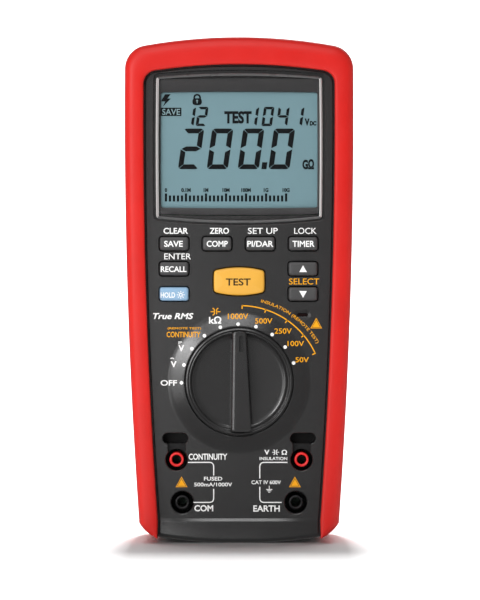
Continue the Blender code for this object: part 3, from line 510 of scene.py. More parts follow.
class Skin:
    """One node material, with its textures read in object space."""

    def __init__(self, name):
        self.made = bpy.data.materials.new(name)
        self.made.use_nodes = True
        self.nodes = self.made.node_tree.nodes
        self.links = self.made.node_tree.links
        self.shader = self.nodes["Principled BSDF"]
        self.place = self.node("TexCoord").outputs["Object"]

    def feed(self, socket, value):
        """Links an output to a socket, or sets the socket's own value."""
        if isinstance(value, bpy.types.NodeSocket):
            self.links.new(value, socket)
        elif socket.type == "RGBA":
            socket.default_value = (*value, 1.0)
        else:
            socket.default_value = value

    def node(self, kind, **inputs):
        made = self.nodes.new("ShaderNode" + kind)
        for name, value in inputs.items():
            self.feed(made.inputs[name.replace("_", " ")], value)
        return made

    def noise(self, scale, detail=3.0, rough=0.5, stretch=(1.0, 1.0, 1.0)):
        """Noise with this many features to a metre."""
        place = self.node("Mapping", Vector=self.place, Scale=stretch).outputs["Vector"]
        return self.node("TexNoise", Vector=place, Scale=scale, Detail=detail, Roughness=rough).outputs["Fac"]

    def remap(self, value, low, high, from_low=0.3, from_high=0.7):
        limits = {"From_Min": from_low, "From_Max": from_high, "To_Min": low, "To_Max": high}
        return self.node("MapRange", Value=value, **limits).outputs["Result"]

    def mix(self, factor, first, second):
        node = self.node("Mix")
        node.data_type = "RGBA"
        for socket, value in ((0, factor), (6, first), (7, second)):
            self.feed(node.inputs[socket], value)
        return node.outputs[2]

    def bump(self, height, distance):
        return self.node("Bump", Strength=1.0, Distance=distance, Height=height).outputs["Normal"]

    def set(self, **values):
        for name, value in values.items():
            self.feed(self.shader.inputs[name.replace("_", " ")], value)
        return self.made


def shade(colour, factor):
    return tuple(min(1.0, part * factor) for part in colour)


def moulded(name, colour, roughness, mottle=0.07, grain=0.00003, grain_scale=2600.0, spread=0.05,
            **constants):
    """Moulded plastic or rubber: faint mottling, fine spark-eroded grain and uneven gloss."""
    skin = Skin(name)
    broad = skin.remap(skin.noise(55.0, 4.0), 0.0, 1.0)
    fine = skin.noise(grain_scale, 2.0, 0.6)
    base = skin.mix(broad, shade(colour, 1 - mottle), shade(colour, 1 + mottle))
    paler = skin.mix(0.5, base, shade(colour, 1 + 2 * mottle))
    gloss = skin.remap(skin.noise(140.0, 5.0, 0.6), roughness - spread, roughness + spread)
    return skin.set(Base_Color=skin.mix(skin.remap(fine, 0.0, 1.0), base, paler), Roughness=gloss,
                    Normal=skin.bump(fine, grain), **constants)


def rubber(name, colour, roughness, edge_colour, **constants):
    """Moulded rubber, a little paler on its convex edges and where it is scuffed."""
    skin = Skin(name)
    broad = skin.remap(skin.noise(38.0, 5.0, 0.55), 0.0, 1.0)
    base = skin.mix(broad, shade(colour, 0.95), shade(colour, 1.05))
    convex = skin.remap(skin.node("NewGeometry").outputs["Pointiness"], 0.0, 1.0, 0.52, 0.62)
    paler_edges = skin.mix(convex, base, edge_colour)
    scuffs = skin.remap(skin.noise(420.0, 6.0, 0.75, (1.0, 1.0, 0.25)), 0.0, 0.35, 0.62, 0.8)
    gloss = skin.remap(skin.noise(90.0, 6.0, 0.6), roughness - 0.06, roughness + 0.06)
    return skin.set(Base_Color=skin.mix(scuffs, paler_edges, shade(colour, 1.12)), Roughness=gloss,
                    Normal=skin.bump(skin.noise(1700.0, 3.0, 0.65), 0.00004), **constants)


def metal(name, colour, roughness, tarnish=0.85):
    """Plated metal: fine uneven gloss and a little tarnish."""
    skin = Skin(name)
    fine = skin.noise(900.0, 4.0, 0.6)
    dull = skin.remap(skin.noise(260.0, 5.0, 0.6), 0.0, 1.0)
    return skin.set(Base_Color=skin.mix(dull, colour, shade(colour, tarnish)), Metallic=1.0,
                    Roughness=skin.remap(fine, roughness - 0.08, roughness + 0.12),
                    Normal=skin.bump(fine, 0.00001))


def printed(name, colour, roughness=0.45, **constants):
    """Ink printed on plastic, slightly uneven in cover."""
    skin = Skin(name)
    cover = skin.remap(skin.noise(2400.0, 3.0, 0.6), 0.0, 1.0)
    return skin.set(Base_Color=skin.mix(cover, shade(colour, 0.93), colour),
                    Roughness=skin.remap(skin.noise(900.0), roughness - 0.05, roughness + 0.08),
                    Normal=skin.bump(skin.noise(3000.0), 0.00001), **constants)


def lens_skin():
    """A clear window: what is behind it shows, with a reflection that grows at grazing angles."""
    skin = Skin("clear_window")
    smears = skin.remap(skin.noise(70.0, 5.0, 0.6), 0.03, 0.09)
    skin.set(Base_Color=(0.005, 0.005, 0.006), Roughness=smears)
    steep = skin.node("Math")
    steep.operation = "POWER"
    skin.feed(steep.inputs[0], skin.node("LayerWeight", Blend=0.5).outputs["Facing"])
    skin.feed(steep.inputs[1], 4.0)
    amount = skin.remap(steep.outputs[0], 0.02, 0.65, 0.0, 1.0)
    clear = skin.node("BsdfTransparent").outputs[0]
    blend = skin.node("MixShader")
    for socket, source in zip(blend.inputs, (amount, clear, skin.shader.outputs[0])):
        skin.feed(socket, source)
    skin.feed(skin.nodes["Material Output"].inputs["Surface"], blend.outputs[0])
    return skin.made


def lcd_skin():
    """Liquid crystal glass over a reflector, with its fine pearly grain."""
    skin = Skin("lcd_reflector")
    colour = (0.162, 0.276, 0.309)
    pearl = skin.remap(skin.noise(5200.0, 2.0, 0.7), 0.0, 1.0)
    broad = skin.remap(skin.noise(30.0, 2.0), 0.0, 1.0)
    base = skin.mix(broad, shade(colour, 0.97), shade(colour, 1.04))
    return skin.set(Base_Color=skin.mix(pearl, base, shade(colour, 1.06)), Roughness=0.32,
                    Normal=skin.bump(pearl, 0.000004))


def board_skin():
    """Solder mask over copper tracks, with the weave of the board showing through."""
    skin = Skin("solder_mask")
    weave = skin.noise(1800.0, 2.0, 0.5, (1.0, 1.0, 0.2))
    cells = skin.node("TexVoronoi", Vector=skin.place, Scale=260.0).outputs["Distance"]
    tracks = skin.remap(cells, 0.0, 1.0, 0.0012, 0.0019)
    colour = skin.mix(tracks, (0.03, 0.24, 0.09), (0.012, 0.11, 0.04))
    return skin.set(Base_Color=skin.mix(skin.remap(weave, 0.0, 0.3), colour, (0.02, 0.18, 0.07)),
                    Roughness=skin.remap(weave, 0.28, 0.42), Normal=skin.bump(tracks, 0.00002))


def winding_skin():
    """Enamelled wire under a layer of tape: fine turns along the coil."""
    skin = Skin("winding")
    wave = skin.node("TexWave", Vector=skin.place, Scale=900.0, Distortion=0.6)
    wave.bands_direction = "Z"
    turns = wave.outputs["Fac"]
    return skin.set(Base_Color=skin.mix(turns, (0.30, 0.11, 0.03), (0.72, 0.33, 0.12)), Metallic=0.6,
                    Roughness=skin.remap(turns, 0.5, 0.3, 0.0, 1.0), Normal=skin.bump(turns, 0.00012))


RED = (0.62, 0.0115, 0.0080)
CASE = (0.0185, 0.0180, 0.0182)

skins = {
    "holster": rubber("red_rubber", RED, 0.40, (0.72, 0.04, 0.03), Specular_IOR_Level=0.30),
    "case": moulded("case_plastic", CASE, 0.25, spread=0.02, Specular_IOR_Level=0.8),
    "rear": moulded("rear_plastic", shade(CASE, 1.6), 0.52, grain=0.00005, grain_scale=1900.0,
                    Specular_IOR_Level=0.32),
    "knob": moulded("knob_plastic", (0.0175, 0.0170, 0.0172), 0.23, 0.03, grain=0.000005, spread=0.01,
                    Specular_IOR_Level=0.8),
    "key": moulded("key_rubber", (0.060, 0.059, 0.060), 0.45, grain=0.00002, Specular_IOR_Level=0.35),
    "amber_key": moulded("amber_rubber", (0.77, 0.395, 0.042), 0.42, 0.03, grain=0.00002),
    "blue_key": moulded("blue_rubber", (0.255, 0.42, 0.60), 0.45, 0.03, grain=0.00002),
    "black": moulded("black_plastic", (0.010, 0.010, 0.0105), 0.40, Specular_IOR_Level=0.3),
    "mask": moulded("mask_print", (0.034, 0.033, 0.034), 0.40, 0.05, grain=0.00001),
    # Pale and dark copies for the window border's bevels: the pale one is a painted highlight on the side
    # bevels, the dark one is painted shade on the top and bottom bevels.
    "lens_edge": moulded("polished_edge", (0.62, 0.61, 0.60), 0.22, 0.04, grain=0.00001),
    "lens_rim": moulded("cut_edge", (0.12, 0.12, 0.12), 0.3, 0.04, grain=0.00001),
    "red": moulded("red_plastic", (0.80, 0.022, 0.022), 0.32, 0.05, grain=0.00002),
    "white": moulded("white_plastic", (0.74, 0.74, 0.71), 0.42, 0.03),
    "seal": moulded("seal_rubber", (0.016, 0.016, 0.016), 0.75, 0.15, grain=0.00006),
    "ceramic": moulded("fuse_ceramic", (0.80, 0.78, 0.72), 0.25, 0.03, grain=0.00001),
    "film": moulded("capacitor_film", (0.05, 0.08, 0.25), 0.3, 0.05, grain=0.00001),
    "ferrite": moulded("ferrite", (0.03, 0.03, 0.035), 0.65, 0.2, grain=0.0001, grain_scale=1500.0),
    "sleeve": moulded("cell_sleeve", (0.07, 0.09, 0.15), 0.28, 0.05, grain=0.00001),
    "sleeve_band": moulded("cell_band", (0.52, 0.26, 0.08), 0.3, 0.05, grain=0.00001),
    "lamp": moulded("lamp_lens", (0.008, 0.002, 0.002), 0.25, 0.05, grain=0.00001, Specular_IOR_Level=0.2),
    "steel": metal("plated_steel", (0.56, 0.56, 0.57), 0.32),
    "brass": metal("brass", (0.76, 0.56, 0.24), 0.30, 0.75),
    # A very dark metal for the terminals' sleeves: painted shade inside their bores.
    "plated": metal("plated_brass", (0.20, 0.19, 0.17), 0.35, 0.8),
    "board": board_skin(),
    "winding": winding_skin(),
    "lcd": lcd_skin(),
    "lens": lens_skin(),
    "ink_white": printed("ink_white", (0.95, 0.95, 0.94)),
    "ink_amber": printed("ink_amber", (0.93, 0.40, 0.006), Specular_IOR_Level=0.2),
    "ink_dark": printed("ink_dark", (0.030, 0.022, 0.015), Specular_IOR_Level=0.1),
    "segment": printed("lcd_segment", (0.010, 0.011, 0.012), 0.4, Specular_IOR_Level=0.05),
    "segment_back": printed("lcd_clear_segment", (0.24, 0.37, 0.40), 0.3),
}


# ---- lettering and marks


def print_text(bm, text, position, y, weight, slant=0.0):
    """Prints text in the built-in font where position(across, up), both 0 to 1, puts its points.

    The ink stands on a surface given as its y, or as a function that gives y at a place."""
    curve = bpy.data.curves.new("lettering", "FONT")
    curve.body = text
    curve.offset = weight
    curve.shear = slant
    curve.resolution_u = 4
    curve.extrude = 0.01
    carrier = show("lettering", curve)
    graph = bpy.context.evaluated_depsgraph_get()
    mesh = bpy.data.meshes.new_from_object(carrier.evaluated_get(graph))
    bpy.data.objects.remove(carrier)
    bpy.data.curves.remove(curve)
    low = Vector([min(v.co[axis] for v in mesh.vertices) for axis in range(3)])
    high = Vector([max(v.co[axis] for v in mesh.vertices) for axis in range(3)])
    for vert in mesh.vertices:
        place = position((vert.co.x - low.x) / (high.x - low.x), (vert.co.y - low.y) / (high.y - low.y))
        surface = y(place) if callable(y) else y
        vert.co = (place.x, surface - INK * max(0.0, vert.co.z / high.z), place.y)
    bm.from_mesh(mesh)
    bpy.data.meshes.remove(mesh)


def write(bm, text, x, z, y, weight=0.0, slant=0.0):
    """Writes text so that it fills the spans x and z."""
    print_text(bm, text, lambda across, up: Vector((x[0] + (x[1] - x[0]) * across,
                                                    z[0] + (z[1] - z[0]) * up)), y, weight, slant)


def plate(bm, points, y):
    """A flat shape in ink on the plane y."""
    prism(bm, points, y - INK, y)


def bar(bm, x, z, y):
    plate(bm, box_points(x, z), y)


def stroke(bm, line, width, y):
    """A line of even width through (x, z) points, with square ends."""
    line = vectors(*line)
    near, far = [], []
    for index, here in enumerate(line):
        along = line[min(len(line) - 1, index + 1)] - line[max(0, index - 1)]
        across = Vector((-along.y, along.x)).normalized() * width / 2
        near.append(here - across)
        far.append(here + across)
    plate(bm, near + far[::-1], y)


def hollow_plate(bm, outer, inner, y):
    """An ink outline between two closed lines."""
    loop_loft(bm, [ring_at(outer, y), ring_at(outer, y - INK), ring_at(inner, y - INK), ring_at(inner, y)])


# ---- holster


def flare(bm, ridge):
    """Brings the front of the lower end a little forward, and more so below a ridge if ridge is set."""
    for vert in bm.verts:
        share = min(1.0, max(0.0, (FLARE_FROM_Y - vert.co.y) / (FLARE_FROM_Y - FACE_Y)))
        below = max(0.0, RIDGE_Z + GAP - vert.co.z)
        forward = FLARE * below**2
        if ridge:
            across = max(0.0, 1 - (vert.co.x / RIDGE_HALF) ** 4)
            rise = min(1.0, max(0.0, (RIDGE_TOP - vert.co.z) / (RIDGE_TOP - RIDGE_Z)))
            forward += RIDGE_HEIGHT * across * rise
        vert.co.y -= forward * share


# (share of the way from the outer edge to the opening, share of the way forward)
CROWN = ((0.0, 0.0), (0.0, 0.55), (0.035, 0.70), (0.10, 0.83), (0.21, 0.925), (0.36, 0.975),
         (0.52, 0.997), (0.68, 1.0), (0.82, 0.996), (0.91, 0.985), (0.97, 0.962), (1.0, 0.915))
CROWN_Y = (-17.0, HOLSTER_FRONT_Y - 0.25)
# (the same share, y)
BACK_CROWN = ((1.0, 28.6), (0.97, 29.15), (0.90, BACK_Y), (0.48, BACK_Y), (0.36, 29.35), (0.22, 28.8),
              (0.10, 27.6), (0.03, 26.0), (0.0, 24.0), (0.0, 12.0), (0.0, -4.0))
# (inset from the lining, y)
LINING = ((2.6, FACE_Y - GAP), (0.8, -23.3), (0.0, -20.2), (0.0, 19.5), (1.2, 23.8), (3.2, REAR_Y + GAP))


def make_holster():
    outer = holster_outer()
    opening = holster_opening()
    lining = holster_lining()

    def between(share, y):
        return ring_at([p.lerp(q, share) for (p, _), (q, _) in zip(outer, opening)], y)

    def inside(outline, inset, y):
        """A row whose inset dies out towards the wing tips."""
        last = len(outline) - 1
        shares = [min(1.0, index / WING_STEPS, (last - index) / WING_STEPS) for index in range(last + 1)]
        return ring_at([p + n * inset * share for (p, n), share in zip(outline, shares)], y)

    start, front = CROWN_Y
    rings = [between(share, start + (front - start) * rise) for share, rise in CROWN]
    rings.append(inside(opening, 0.0, FACE_Y - GAP))
    rings += [inside(lining, inset, y) for inset, y in LINING]
    rings.append(inside(opening, 0.0, REAR_Y + GAP))
    rings += [between(share, y) for share, y in BACK_CROWN]
    bm = bmesh.new()
    bow_loft(bm, rings)
    flare(bm, False)
    piece("holster_skin", bm, "tester", "holster", ["holster"], 40, even=True)


# ---- front shell


def port_points(sign):
    """A remote probe port: a round-ended slot whose neck runs down into the terminal's well."""
    low, high = PORT_Z
    radius = (high - low) / 2
    x, z = UPPER_JACK
    left_end = PORT_X[0] + radius
    right_end = PORT_X[1] - radius
    right_edge = x + PORT_NECK
    left_edge = x - PORT_NECK
    open_at = math.degrees(math.acos(PORT_NECK / JACK_WELL))
    points = arc_points(JACK_WELL, x, z, 180 - open_at, 360 + open_at, 36)
    points += rounded(((right_edge, low - 2.6), (right_edge, low + 0.15), (right_end + 1.6, low + 0.6)),
                      1.2, 6)
    points += arc_points(radius, right_end, low + radius, -35, 90, 12)
    points += arc_points(radius, left_end, low + radius, 90, 215, 12)
    points += rounded(((left_end - 1.75, low + 0.75), (left_edge, low + 0.05), (left_edge, low - 2.6)),
                      1.0, 6)
    if sign < 0:
        points = [Vector((-p.x, p.y)) for p in reversed(points)]
    return points


def collar_drop(share):
    """Fall of the collar's slope: steady at first, then easing out onto the face."""
    steady = 0.6
    if share < steady:
        return share / (1 - (1 - steady) / 2)
    left = (1 - share) / (1 - steady)
    return 1 - left * left * (1 - steady) / 2 / (1 - (1 - steady) / 2)


COLLAR_SLOPE = [(COLLAR_WELL + (COLLAR_FOOT - COLLAR_WELL) * step / COLLAR_STEPS,
                 FACE_Y + 0.07 - COLLAR_RISE * (1 - collar_drop(step / COLLAR_STEPS)))
                for step in range(COLLAR_STEPS + 1)]
COLLAR_TOP_Y = COLLAR_SLOPE[0][1]


def key_outline(name, extra=0.0):
    """Outline of a key about its own middle, this much larger all round."""
    shape = KEY_SHAPES[name]
    half_width, half_height = shape["half"]
    return bowed_outline(half_width + extra, -half_height - extra, half_height + extra,
                         max(0.3, shape["corner"] + extra), *shape["radii"], steps=shape["steps"])


def ridge_grid(bm):
    """Adds rows and columns of vertices over the lower end, so that its ridge can be shaped."""
    rows = [RIDGE_TOP - 0.15 * step for step in range(11)] + [8.9] + [8.2 - step for step in range(8)]
    for level in rows:
        bmesh.ops.bisect_plane(bm, geom=bm.verts[:] + bm.edges[:] + bm.faces[:], dist=1e-5,
                               plane_co=(0, 0, level), plane_no=(0, 0, 1))
    for column in range(-14, 15):
        low = [f for f in bm.faces if max(v.co.z for v in f.verts) < RIDGE_TOP + 0.01
               and max(v.co.y for v in f.verts) < FACE_Y + 1.2]
        around = {v for f in low for v in f.verts} | {e for f in low for e in f.edges}
        bmesh.ops.bisect_plane(bm, geom=list(around) + low, dist=1e-5,
                               plane_co=(column * 2.9, 0, 0), plane_no=(1, 0, 0))


def face_blank():
    """The front shell with its ridge and the dial's collar, before its openings are cut."""
    bm = bmesh.new()
    edge = rounded(((0.0, -18.0), (0.0, -22.2), (0.6, -23.3), (1.6, FACE_Y), (9.0, FACE_Y)), 1.2, 4)[:-1]
    inner = [(4.6, FACE_INNER_Y), (CASE_WALL, -19.6), (CASE_WALL, -RIM_Y), (0.0, -RIM_Y)]
    profile_solid(bm, case_outline(), inner + edge)
    bmesh.ops.recalc_face_normals(bm, faces=bm.faces)
    bm.normal_update()
    ridge_grid(bm)
    flare(bm, True)
    made = new_mesh_object("front_shell", bm, ("case",))
    bm = bmesh.new()
    boss_y = -22.2
    collar = [(0, COLLAR_TOP_Y)] + COLLAR_SLOPE
    collar += [(31.6, boss_y), (BOSS_RADIUS, boss_y), (BOSS_RADIUS, -19.4), (0, -19.4)]
    turned(bm, collar, 128, 0.0, KNOB_Z)
    carve(made, bm, "UNION")
    return made


def cut_edge_groove(made):
    """A slit along the holster's opening, which parts the rubber from the face."""
    slit = [(-1.6, FACE_Y - 3.0), (1.5, FACE_Y - 3.0), (1.25, FACE_Y - 0.06), (1.0, FACE_Y + 0.04),
            (0.8, FACE_Y + 0.2), (0.66, FACE_Y + 0.5), (0.6, FACE_Y + 1.2), (-1.6, FACE_Y + 1.2)]
    path = holster_opening()
    end = path[0][0] + Vector((0.1, -6.0))
    path.insert(0, (end, Vector((-1.0, 0.0))))
    path.append((Vector((-end.x, end.y)), Vector((1.0, 0.0))))
    bm = bmesh.new()
    bow_loft(bm, section_rings((path, slit)))
    flare(bm, False)
    carve(made, bm)


def cut_face_openings(made):
    bm = bmesh.new()
    through = (0.0, BEHIND_FACE_Y)
    recess = bowed_outline(**RECESS, steps=FINE_STEPS)
    window = bowed_outline(**WINDOW, steps=FINE_STEPS)
    loft(bm, section_rings((recess, lip(0.55) + [(0.1, RECESS_FLOOR_Y)]),
                           (window, ((0.0, RECESS_FLOOR_Y), through))))
    surround = shifted(bowed_outline(3.7, -1.8, 1.8, 1.7), *centre("warning_lamp"))
    slot = shifted(bowed_outline(2.4, -0.8, 0.8, 0.7), *centre("warning_lamp"))
    loft(bm, section_rings((surround, lip(0.3) + [(0.7, FACE_Y + 0.45)]),
                           (slot, ((0.0, FACE_Y + 0.55), through))))
    shaft = 8.0
    well = round_lip(WELL_RADIUS, lip(0.35, COLLAR_TOP_Y + 0.12))
    well += [(WELL_RADIUS, WELL_FLOOR_Y), (shaft, WELL_FLOOR_Y), (shaft, -17.4), (0, -17.4)]
    turned(bm, [(0, COLLAR_TOP_Y - PAST)] + well, 128, 0.0, KNOB_Z)
    for name in KEY_SHAPES:
        hole = shifted(key_outline(name, KEY_SLIT), *centre(f"key_{name}"))
        profile_solid(bm, hole, lip(0.35) + [through])
    for sign in (-1, 1):
        profile_solid(bm, with_normals(port_points(sign)), lip(0.6) + [(0.0, NECK_FLOOR_Y)])
        well = round_lip(JACK_WELL, lip(0.9) + [through]) + [(0, BEHIND_FACE_Y)]
        turned(bm, [(0, FACE_Y - PAST)] + well, 48, sign * LOWER_JACK[0], LOWER_JACK[1])
    carve(made, bm)

    # The slot and the well of each port go on through the face, behind the shallower neck.
    bm = bmesh.new()
    low, high = PORT_Z
    deep = (FACE_Y + 1.2, BEHIND_FACE_Y)
    slot = bowed_outline((PORT_X[1] - PORT_X[0]) / 2 - 0.1, low + 0.1, high - 0.1, (high - low) / 2 - 0.15)
    for sign in (-1, 1):
        prism(bm, flat_points(shifted(slot, sign * sum(PORT_X) / 2, 0.0)), *deep)
        rod(bm, JACK_WELL - 0.1, deep, 48, (sign * UPPER_JACK[0], UPPER_JACK[1]))
    carve(made, bm)


def make_front_shell():
    made = face_blank()
    cut_edge_groove(made)
    cut_face_openings(made)
    # The floor of each port's shallow neck gets black plastic: painted shade in the recess.
    made.data.materials.append(skins["black"])
    for polygon in made.data.polygons:
        if polygon.normal.y < -0.9 and abs(polygon.center.y / MM - NECK_FLOOR_Y) < 0.05:
            polygon.material_index = 1
    finish_piece(made, "tester", ["front_case"], even=True)


# ---- display


def make_display():
    """The clear window inside a raised border, over the print that masks the edge of the display."""
    bm = bmesh.new()
    outline = bowed_outline(**LENS_OUTLINE, steps=(14, 6, 6, 6, 14))
    front, back = span("display_lens")
    top = front.y - 0.15
    section = ((0.0, back.y), (0.0, top + 0.6), (0.08, top + 0.42), (0.42, top + 0.04), (0.52, top),
               (0.68, top), (0.78, top + 0.04), (1.12, top + 0.42), (1.2, top + 0.6), (1.2, back.y))
    loop_loft(bm, section_rings((outline, section)))
    border = new_mesh_object("window_border", bm, ("mask", "lens_edge", "lens_rim"), 20)
    # Bevels facing sideways get the pale colour, a painted highlight; bevels facing up or down get the dark
    # colour, painted shade.
    for polygon in border.data.polygons:
        if 0.2 < abs(polygon.normal.y) < 0.95:
            polygon.material_index = 1 if abs(polygon.normal.x) > abs(polygon.normal.z) else 2
    finish_piece(border, "tester")
    bm = bmesh.new()
    profile_solid(bm, outline, ((1.3, back.y), (1.3, top + 0.6), (1.35, top + 0.52)))
    piece("window_lens", bm, "tester", "lens", ["display_lens"], 20)

    bm = bmesh.new()
    edge = bowed_outline(**WINDOW, steps=(6, 6, 6, 6, 6))
    hole = bowed_outline(**MASK_HOLE, steps=(6, 6, 6, 6, 6))
    front, back = span("display_mask")
    rim = ((-0.35, front.y), (-0.12, front.y + 0.12), (0.0, front.y + 0.4), (0.0, back.y))
    loop_loft(bm, section_rings((edge, [(GAP, front.y)]), (hole, rim), (edge, [(GAP, back.y)])))
    piece("display_mask_print", bm, "tester", "mask", ["display_mask"])


SEGMENT_LISTS = {"0": "abcdef", "1": "bc", "2": "abged", "4": "fgbc"}


def digit(bm, figure, x, z, upright, level, corner, y):
    """One seven-segment figure with mitred segments, round outer corners and a lean to the right.

    upright and level are the widths of its upright and level segments."""
    slope = math.tan(math.radians(8.0))
    height = z[1] - z[0]
    width = x[1] - x[0] - height * slope
    middle = height / 2
    slit = 0.03 * upright
    inner = level / 2 + 0.17 * upright
    right = width - upright

    def bend(start, end):
        return [tuple(p) for p in arc_points(corner, corner, height - corner, start, end, 3)]

    top = bend(131, 90)
    top_right = [(width - px, pz) for px, pz in reversed(top)]
    shapes = {
        "a": top + top_right + [(right - slit, height - level), (upright + slit, height - level)],
        "g": [(0.12 * upright, middle), (upright, middle + level / 2), (right, middle + level / 2),
              (width - 0.12 * upright, middle), (right, middle - level / 2), (upright, middle - level / 2)],
        "f": [(0, middle + 0.1 * upright)] + bend(180, 139)
             + [(upright, height - level - slit), (upright, middle + inner)],
    }
    shapes["d"] = [(px, height - pz) for px, pz in shapes["a"]]
    shapes["e"] = [(px, height - pz) for px, pz in shapes["f"]]
    shapes["b"] = [(width - px, pz) for px, pz in shapes["f"]]
    shapes["c"] = [(width - px, pz) for px, pz in shapes["e"]]
    for name in SEGMENT_LISTS[figure]:
        plate(bm, [Vector((x[0] + px + pz * slope, z[0] + pz)) for px, pz in shapes[name]], y)


LARGE_DIGITS = (("2", (-27.3, -15.5)), ("0", (-14.5, -2.5)), ("0", (-0.7, 11.3)), ("0", (13.0, 25.0)))
SMALL_DIGITS = (("1", (-25.3, -19.1)), ("2", (-19.4, -13.6)), ("1", (2.8, 9.0)), ("0", (9.9, 15.8)),
                ("4", (16.4, 22.6)), ("1", (23.0, 29.2)))
READOUT_LEGENDS = (
    ("TEST", (-6.6, 5.6), (186.6, 192.2), 0.045), ("V", (29.2, 31.4), (185.7, 188.9), 0.06),
    ("DC", (31.5, 34.4), (185.7, 187.8), 0.07), ("GΩ", (28.2, 33.4), (166.2, 170.8), 0.055),
)
SCALE_LABELS = ("0", "0.1M", "1M", "10M", "100M", "1G", "10G")
SCALE_PITCH = 1.785


def make_readout():
    """The figures and marks that the display shows in use."""
    y = span("lcd_panel")[0].y - 0.02
    bm = bmesh.new()
    for figure, x in LARGE_DIGITS:
        digit(bm, figure, x, (166.3, 184.4), 2.3, 2.15, 1.6, y)
    plate(bm, vectors((9.9, 166.3), (12.2, 166.3), (12.6, 169.4), (10.3, 169.4)), y)
    for figure, x in SMALL_DIGITS:
        digit(bm, figure, x, (185.5, 194.1), 1.25, 1.12, 0.8, y)
    for text, x, z, weight in READOUT_LEGENDS:
        write(bm, text, x, z, y, weight)
    for index in range(5 * (len(SCALE_LABELS) - 1) + 1):
        left = -33.1 + SCALE_PITCH * index
        bar(bm, (left, left + 1.0), (151.9, 154.6 if index % 5 else 155.5), y)
    for index, label in enumerate(SCALE_LABELS):
        middle = -32.6 + SCALE_PITCH * 5 * index
        half = 0.53 * len(label)
        write(bm, label, (middle - half, middle + half), (156.1, 157.9), y, 0.05)
    plate(bm, vectors((-33.0, 199.7), (-30.5, 199.7), (-32.0, 197.8), (-30.4, 197.8), (-34.0, 194.2),
                      (-32.9, 196.5), (-34.9, 196.5)), y)
    lock_x = -18.7
    plate(bm, flat_points(shifted(bowed_outline(2.1, 194.8, 197.9, 1.2, 6.0), lock_x, 0.0)), y)
    shackle = arc_points(1.3, lock_x, 198.2, 0, 180, 12)
    stroke(bm, [(lock_x + 1.3, 197.5)] + shackle + [(lock_x - 1.3, 197.5)], 0.8, y)
    plate(bm, flat_points(shifted(bowed_outline(4.6, 190.0, 193.7, 0.3), -30.3, 0.0)), y)
    piece("readout_segments", bm, "tester", "segment")
    bm = bmesh.new()
    write(bm, "SAVE", (-34.3, -26.3), (190.5, 193.2), y - INK, 0.01)
    plate(bm, circle_points(0.45, lock_x, 196.8, 12), y - INK)
    bar(bm, (lock_x - 0.2, lock_x + 0.2), (195.7, 196.8), y - INK)
    piece("readout_clear", bm, "tester", "segment_back")


# ---- keys


KEY_LEGENDS = {
    "save": ("SAVE", (-33.3, -25.0), (131.6, 134.3), 0.021),
    "comp": ("COMP", (-14.4, -5.0), (131.6, 134.3), 0.021),
    "pi_dar": ("PI/DAR", (3.6, 15.2), (131.6, 134.3), 0.021),
    "timer": ("TIMER", (23.7, 33.5), (131.6, 134.3), 0.021),
    "recall": ("RECALL", (-34.8, -23.3), (120.4, 123.0), 0.021),
    "hold": ("HOLD", (-34.8, -28.4), (109.0, 111.4), 0.021),
    "test": ("TEST", (-5.9, 5.1), (114.4, 117.6), 0.018),
}
KEY_ARROWS = {"up": ((-1.7, -1.5), (1.7, -1.5), (0.0, 1.5)), "down": ((-1.7, 1.3), (0.0, -1.7), (1.7, 1.3))}
KEY_SKINS = {"hold": ("blue_key", "key_blue", "ink_white"), "test": ("amber_key", "key_amber", "ink_dark")}


def make_key(name, shape):
    """A crowned cap with rounded edges and its legend."""
    x, z = centre(f"key_{name}")
    skin, slot, ink = KEY_SKINS.get(name, ("key", "key_grey", "ink_white"))
    reach, crown = shape["reach"], shape["crown"]
    bevel = 1.15
    sections = ((-0.8, -19.6), (0.0, -19.6), (0.0, KEY_TOP_Y + 1.05), (-0.08, KEY_TOP_Y + 0.72),
                (-0.24, KEY_TOP_Y + 0.42), (-0.50, KEY_TOP_Y + 0.20), (-0.82, KEY_TOP_Y + 0.06),
                (-bevel, KEY_TOP_Y), (-(bevel + reach) / 2, KEY_TOP_Y - 0.7 * crown),
                (-reach, KEY_TOP_Y - crown))
    bm = bmesh.new()
    loft(bm, [ring_at(flat_points(shifted(key_outline(name, extra), x, z)), y) for extra, y in sections])
    piece(f"{name}_key_cap", bm, f"key_{name}", skin, [f"key_{name}"], 40)
    bm = bmesh.new()
    top = KEY_TOP_Y - crown - 0.01
    if name in KEY_LEGENDS:
        text, across, up, weight = KEY_LEGENDS[name]
        write(bm, text, across, up, top, weight)
    if name in KEY_ARROWS:
        plate(bm, [Vector((x, z)) + Vector(p) for p in KEY_ARROWS[name]], top)
    if name == "hold":
        sun(bm, -25.9, z - 0.4, top)
    piece(f"{name}_key_legend", bm, f"key_{name}", ink)


def sun(bm, x, z, y):
    """A small lamp mark: a ring with eight rays."""
    hollow_plate(bm, circle_points(0.85, x, z, 20), circle_points(0.5, x, z, 20), y)
    for index in range(8):
        stroke(bm, [Vector((x, z)) + polar(reach, 45 * index) for reach in (1.1, 1.75)], 0.34, y)


# ---- selector


